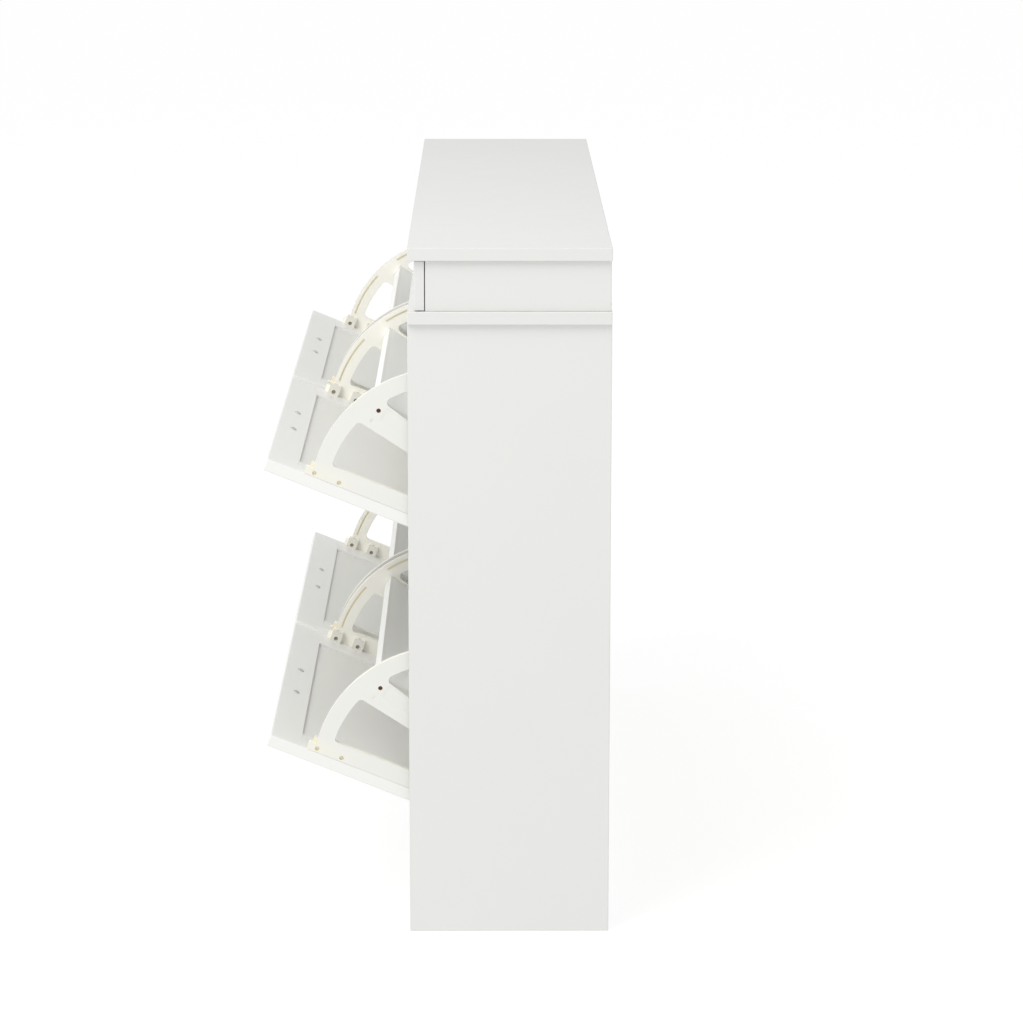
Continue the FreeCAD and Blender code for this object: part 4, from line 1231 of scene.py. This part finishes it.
@dataclass(frozen=True)
class ScrewSize:
    """Sizes of one kind of screw."""

    head_radius: float
    head_height: float
    shaft_radius: float
    pitch: float
    dome: float
    tip: float

    def values(self, length: float, material: bpy.types.Material, seed: int) -> dict:
        """Inputs for the screw tree.

        Args:
            length: Length of the shaft.
            material: The screw's material.
            seed: Seed of the spin of its recess.

        Returns:
            Input name to value.
        """
        arm = ARM_LENGTH_SHARE * self.head_radius
        return {
            "Head Radius": self.head_radius,
            "Head Height": self.head_height,
            "Dome": self.dome,
            "Shaft Radius": self.shaft_radius,
            "Shaft Length": length,
            "Thread Pitch": self.pitch,
            "Thread Depth": THREAD_DEPTH_SHARE * self.shaft_radius,
            "Tip Length": self.tip,
            "Long Arm": arm,
            "Short Arm": arm,
            "Arm Width": ARM_WIDTH_SHARE * self.head_radius,
            "Recess Depth": RECESS_DEPTH_SHARE * self.head_height,
            "Seed": seed,
            "Finish": material,
        }


HANDLE_SCREW = ScrewSize(4.0 * MM, 2.2 * MM, 2.0 * MM, 0.9 * MM, 1.0 * MM, 0.5 * MM)
SHELF_SCREW = ScrewSize(2.6 * MM, 2.2 * MM, 1.8 * MM, 1.8 * MM, 0.5 * MM, 4.0 * MM)
BOSS_SCREW = ScrewSize(2.6 * MM, 2.2 * MM, 1.8 * MM, 1.6 * MM, 0.7 * MM, 2.5 * MM)
RUNNER_SCREW = ScrewSize(3.4 * MM, 2.2 * MM, 1.8 * MM, 1.6 * MM, 0.9 * MM, 2.5 * MM)


# --- Sub-assemblies ---
@dataclass
class Flap:
    """One tilt-out flap: door, shelves, brackets, handle and screws."""

    name: str
    shop: Workshop
    moulding_round: float = 0.45 * MM
    handle_radius: float = 4.5 * MM
    handle_bend: float = 13.0 * MM
    handle_foot_share: float = 1.45
    handle_foot: float = 4.5 * MM

    def __post_init__(self) -> None:
        """Reads the hinge of this flap."""
        hinge = next(joint for joint in frame["joints"] if joint["name"] == self.name + "_hinge")
        pivot = Vector((0.0, *hinge["pos_m"][1:]))
        self.body = hinge["child"]
        self.swing = Swing(pivot, math.radians(max(hinge["range_deg"])))

    def node(self, part: str) -> str:
        """Name of one of the flap's frame nodes."""
        return f"{self.name}_{part}"

    def build(self) -> None:
        """Dresses and rebuilds every part of the flap."""
        self.dress_boards()
        self.mould_brackets()
        self.bend_handle()
        self.drive_screws()

    def dress_boards(self) -> None:
        """Lacquer on the door with painted shade on its panel, and foil with painted light on the shelves.
        """
        self.shop.dress_node(self.node("door_frame"), DOOR_LACQUER, self.swing)
        self.shop.dress_node(self.node("door_panel"), PANEL_SHADED_LACQUER, self.swing)
        self.shop.dress_node(self.node("middle_shelf"), SHELF_LIT_BOARD, self.swing)
        self.shop.dress_node(self.node("rear_shelf"), SHELF_LIT_BOARD, self.swing)

    def mould_brackets(self) -> None:
        """Rounded mouldings in place of the plain brackets."""
        for side in ("left", "right"):
            node = self.node("bracket_" + side)
            name = node + "_moulding"
            piece = bevelled_copy(name, node, self.moulding_round)
            piece.data.materials.clear()
            place = Place.of_node(node, self.swing)
            piece.data.materials.append(BRACKET_PLASTIC.material(self.shop.look, name, place))
            self.shop.settle(piece, self.body, BRACKET_PLASTIC, node)

    def bend_handle(self) -> None:
        """Bow handle swept along its path."""
        node = self.node("handle")
        place = Place.of_node(node, self.swing)
        inset = self.handle_radius
        low, high = place.low, place.high
        z = place.centre.z
        corners = [
            Vector((low.x + inset, high.y, z)),
            Vector((low.x + inset, low.y + inset, z)),
            Vector((high.x - inset, low.y + inset, z)),
            Vector((high.x - inset, high.y, z)),
        ]
        name = self.node("bow_handle")
        path = outline(name + "_path", [self.swing.out @ corner for corner in corners], False)
        material = NICKEL.material(self.shop.look, name, place)
        piece = grow(name, self.shop.handles.tree, path, {
            "Bar Radius": self.handle_radius,
            "Bend Radius": self.handle_bend,
            "Foot Share": self.handle_foot_share,
            "Foot Length": self.handle_foot,
            "Finish": material,
        })
        self.shop.settle(piece, self.body, NICKEL, node)

    def drive_screws(self) -> None:
        """Handle, shelf and boss screws, each with its own head and recess."""
        node = self.node("screws")
        middle = Place.of_node(node, self.swing).centre.x
        # The shelf screws' dark colour is partly painted shade of their holes.
        sizes = {"handle": (HANDLE_SCREW, ZINC), "shelf": (SHELF_SCREW, BRONZE_AND_HOLE_SHADE), "boss": (BOSS_SCREW, ZINC)}
        kinds: dict[str, list[tuple[Vector, Vector]]] = {kind: [] for kind in sizes}
        lengths: dict[str, float] = {}
        for points in islands(node):
            low, high = self.swing.plan_box(points)
            centre = (low + high) / 2.0
            spread = high - low
            if spread.x > spread.y:
                kind, reach = "shelf", spread.x
                outward = Vector((math.copysign(1.0, centre.x - middle), 0.0, 0.0))
            else:
                kind, reach = "handle" if spread.x > HANDLE_HEAD_FROM else "boss", spread.y
                outward = Vector((0.0, 1.0, 0.0))
            head = sizes[kind][0].head_height
            lengths[kind] = reach - head
            seat = centre + outward * (reach / 2.0 - head)
            kinds[kind].append((self.swing.out @ seat, self.swing.out.to_3x3() @ outward))
        for seed, (kind, places) in enumerate(kinds.items()):
            size, finish = sizes[kind]
            name = f"{self.name}_{kind}_screws"
            material = finish.material(self.shop.look, name, Place.of_node(node, self.swing))
            piece = grow(
                name, self.shop.screws.tree, points_with_aims(name, places),
                size.values(lengths[kind], material, seed),
            )
            self.shop.settle(piece, self.body, finish, node)


@dataclass
class Drawer:
    """One shallow drawer."""

    side: str
    shop: Workshop

    def build(self) -> None:
        """Dresses the drawer's boards."""
        name = "drawer_" + self.side
        self.shop.dress_node(name + "_front", MELAMINE)
        self.shop.dress_node(name + "_sides", LINER)
        self.shop.dress_node(name + "_back", LINER)
        self.shop.dress_node(name + "_bottom", HARDBOARD)


@dataclass
class Carcass:
    """The fixed boards and fittings."""

    shop: Workshop
    body: str = "carcass"
    boards: tuple[str, ...] = (
        "top_board", "drawer_board", "bottom_board", "side_panel_left", "side_panel_right",
        "upper_side_left", "upper_side_right", "centre_divider", "drawer_divider", "kick_board",
    )
    backs: tuple[str, ...] = ("back_panel", "upper_back_panel")
    nail_spacing: float = 100.0 * MM
    nail_inset: float = 4.0 * MM
    nail_radius: float = 1.9 * MM
    nail_height: float = 0.5 * MM
    nail_stray: float = 0.8 * MM
    screw_seed: int = 11

    def build(self) -> None:
        """Dresses the boards, and rebuilds the screws and nails."""
        for board in self.boards:
            self.shop.dress_node(board, MELAMINE)
        for back in self.backs:
            self.shop.dress_node(back, HARDBOARD)
        fittings = {
            "pivot_pins": PIN_STEEL, "stop_pegs": PEG_PLASTIC, "cam_locks": CAM_METAL,
            "dowels": BEECH, "drawer_stops": PEG_PLASTIC, "centre_foot": FOOT_PLASTIC,
            "drawer_runners": RUNNER_WOOD,
        }
        for node, finish in fittings.items():
            self.shop.dress_node(node, finish)
        for back in self.backs:
            self.nail(back)
        self.screw_runners()

    def nail(self, back: str) -> None:
        """Nails round the rear face of a back panel.

        Args:
            back: The back panel.
        """
        low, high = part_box(back)
        inset = self.nail_inset
        y = high.y + self.nail_height / 2.0
        corners = [
            Vector((x, y, z))
            for x, z in (
                (low.x + inset, low.z + inset), (high.x - inset, low.z + inset),
                (high.x - inset, high.z - inset), (low.x + inset, high.z - inset),
            )
        ]
        name = back + "_nails"
        material = ZINC.material(self.shop.look, name, Place.of_node(back))
        piece = grow(name, self.shop.nails.tree, outline(name, corners, True), {
            "Spacing": self.nail_spacing,
            "Head Radius": self.nail_radius,
            "Head Height": self.nail_height,
            "Stray": self.nail_stray,
            "Facing": Vector((0.0, 1.0, 0.0)),
            "Seed": len(back),
            "Finish": material,
        })
        self.shop.settle(piece, self.body, ZINC)

    def screw_runners(self) -> None:
        """Sunk screws through the drawer runners."""
        node = "runner_screws"
        runners = islands("drawer_runners")
        middles = [sum((point.x for point in points)) / len(points) for points in runners]
        places = []
        head, length = RUNNER_SCREW.head_height, 0.0
        for points in islands(node):
            low, high = FIXED.plan_box(points)
            centre = (low + high) / 2.0
            near = min(middles, key=lambda x: abs(x - centre.x))
            outward = Vector((math.copysign(1.0, near - centre.x), 0.0, 0.0))
            length = high.x - low.x - head
            places.append((centre + outward * ((high.x - low.x) / 2.0 - head), outward))
        name = "runner_wood_screws"
        material = ZINC.material(self.shop.look, name, Place.of_node(node))
        piece = grow(
            name, self.shop.screws.tree, points_with_aims(name, places),
            RUNNER_SCREW.values(length, material, self.screw_seed),
        )
        self.shop.settle(piece, self.body, ZINC, node)


# --- Studio ---
@dataclass
class Studio:
    """Floor, light and camera."""

    camera_place: Vector = field(default_factory=lambda: Vector((4.8249, -0.0239, 1.4093)))
    yaw: float = -0.0061837
    pitch: float = 0.207526
    roll: float = 0.0010289
    focal_length: float = 128.5616
    sensor: float = 36.0
    far_clip: float = 200.0
    floor_size: float = 80.0
    floor_colour: Colour = (0.3, 0.3, 0.3)
    floor_glow: float = 0.775
    sky: float = 0.72
    backdrop: float = 1.0
    lamp_power: float = 105.0
    lamp_side: float = 2.6
    lamp_reach: float = 4.2
    lamp_way: Vector = field(default_factory=lambda: Vector((0.42, -0.4, 0.81)))
    lamp_target: Vector = field(default_factory=lambda: Vector((0.3, -0.15, 0.4)))

    def build(self) -> None:
        """Sets up the floor, the light and the camera."""
        self.lay_floor()
        self.light()
        self.place_camera()

    def lay_floor(self) -> None:
        """Plain pale floor that keeps a faint contact shadow."""
        half = self.floor_size / 2.0
        mesh = bpy.data.meshes.new("studio_floor")
        mesh.from_pydata(
            [(-half, -half, 0.0), (half, -half, 0.0), (half, half, 0.0), (-half, half, 0.0)],
            [], [(0, 1, 2, 3)],
        )
        material = bpy.data.materials.new("pale_floor")
        material.use_nodes = True
        shader = material.node_tree.nodes["Principled BSDF"]
        shader.inputs["Base Color"].default_value = (*self.floor_colour, 1.0)
        shader.inputs["Roughness"].default_value = 1.0
        shader.inputs["Specular IOR Level"].default_value = 0.0
        shader.inputs["Emission Color"].default_value = (1.0, 1.0, 1.0, 1.0)
        shader.inputs["Emission Strength"].default_value = self.floor_glow
        mesh.materials.append(material)
        link("studio_floor", mesh)

    def light(self) -> None:
        """Even white surroundings and one large soft lamp over the front."""
        world = bpy.data.worlds.new("studio")
        world.use_nodes = True
        sheet = Sheet(world.node_tree)
        seen = sheet.add("ShaderNodeLightPath").outputs["Is Camera Ray"]
        strength = sheet.maths("ADD", sheet.maths("MULTIPLY", seen, self.backdrop - self.sky), self.sky)
        background = world.node_tree.nodes["Background"]
        background.inputs["Color"].default_value = (1.0, 1.0, 1.0, 1.0)
        world.node_tree.links.new(strength, background.inputs["Strength"])
        scene = bpy.context.scene
        scene.world = world
        scene.view_settings.view_transform = "Standard"
        scene.view_settings.look = "None"
        lamp = bpy.data.lights.new("soft_lamp", "AREA")
        lamp.size = self.lamp_side
        lamp.energy = self.lamp_power
        holder = bpy.data.objects.new("soft_lamp", lamp)
        holder.location = self.lamp_target + self.lamp_way.normalized() * self.lamp_reach
        holder.rotation_euler = self.lamp_way.to_track_quat("Z", "Y").to_euler()
        scene.collection.objects.link(holder)

    def place_camera(self) -> None:
        """Camera at the chosen view."""
        camera = bpy.data.cameras.new("camera")
        camera.sensor_fit = "VERTICAL"
        camera.sensor_height = self.sensor
        camera.lens = self.focal_length
        camera.clip_end = self.far_clip
        holder = bpy.data.objects.new("camera", camera)
        yaw, pitch = self.yaw, self.pitch
        forward = Vector((
            -math.cos(yaw) * math.cos(pitch), -math.sin(yaw) * math.cos(pitch), -math.sin(pitch)
        ))
        turn = forward.to_track_quat("-Z", "Y").to_matrix().to_4x4()
        turn = turn @ Matrix.Rotation(self.roll, 4, "Z")
        holder.matrix_world = Matrix.Translation(self.camera_place) @ turn
        bpy.context.scene.collection.objects.link(holder)
        bpy.context.scene.camera = holder


def main() -> None:
    """Builds the cabinet, then the studio."""
    logging.basicConfig(level=logging.INFO, format="%(name)s: %(message)s")
    shop = Workshop()
    Studio().build()
    Carcass(shop).build()
    for side in ("left", "right"):
        Drawer(side, shop).build()
        for row in ("upper", "lower"):
            Flap(f"{row}_{side}", shop).build()


if __name__ == "__main__":
    main()
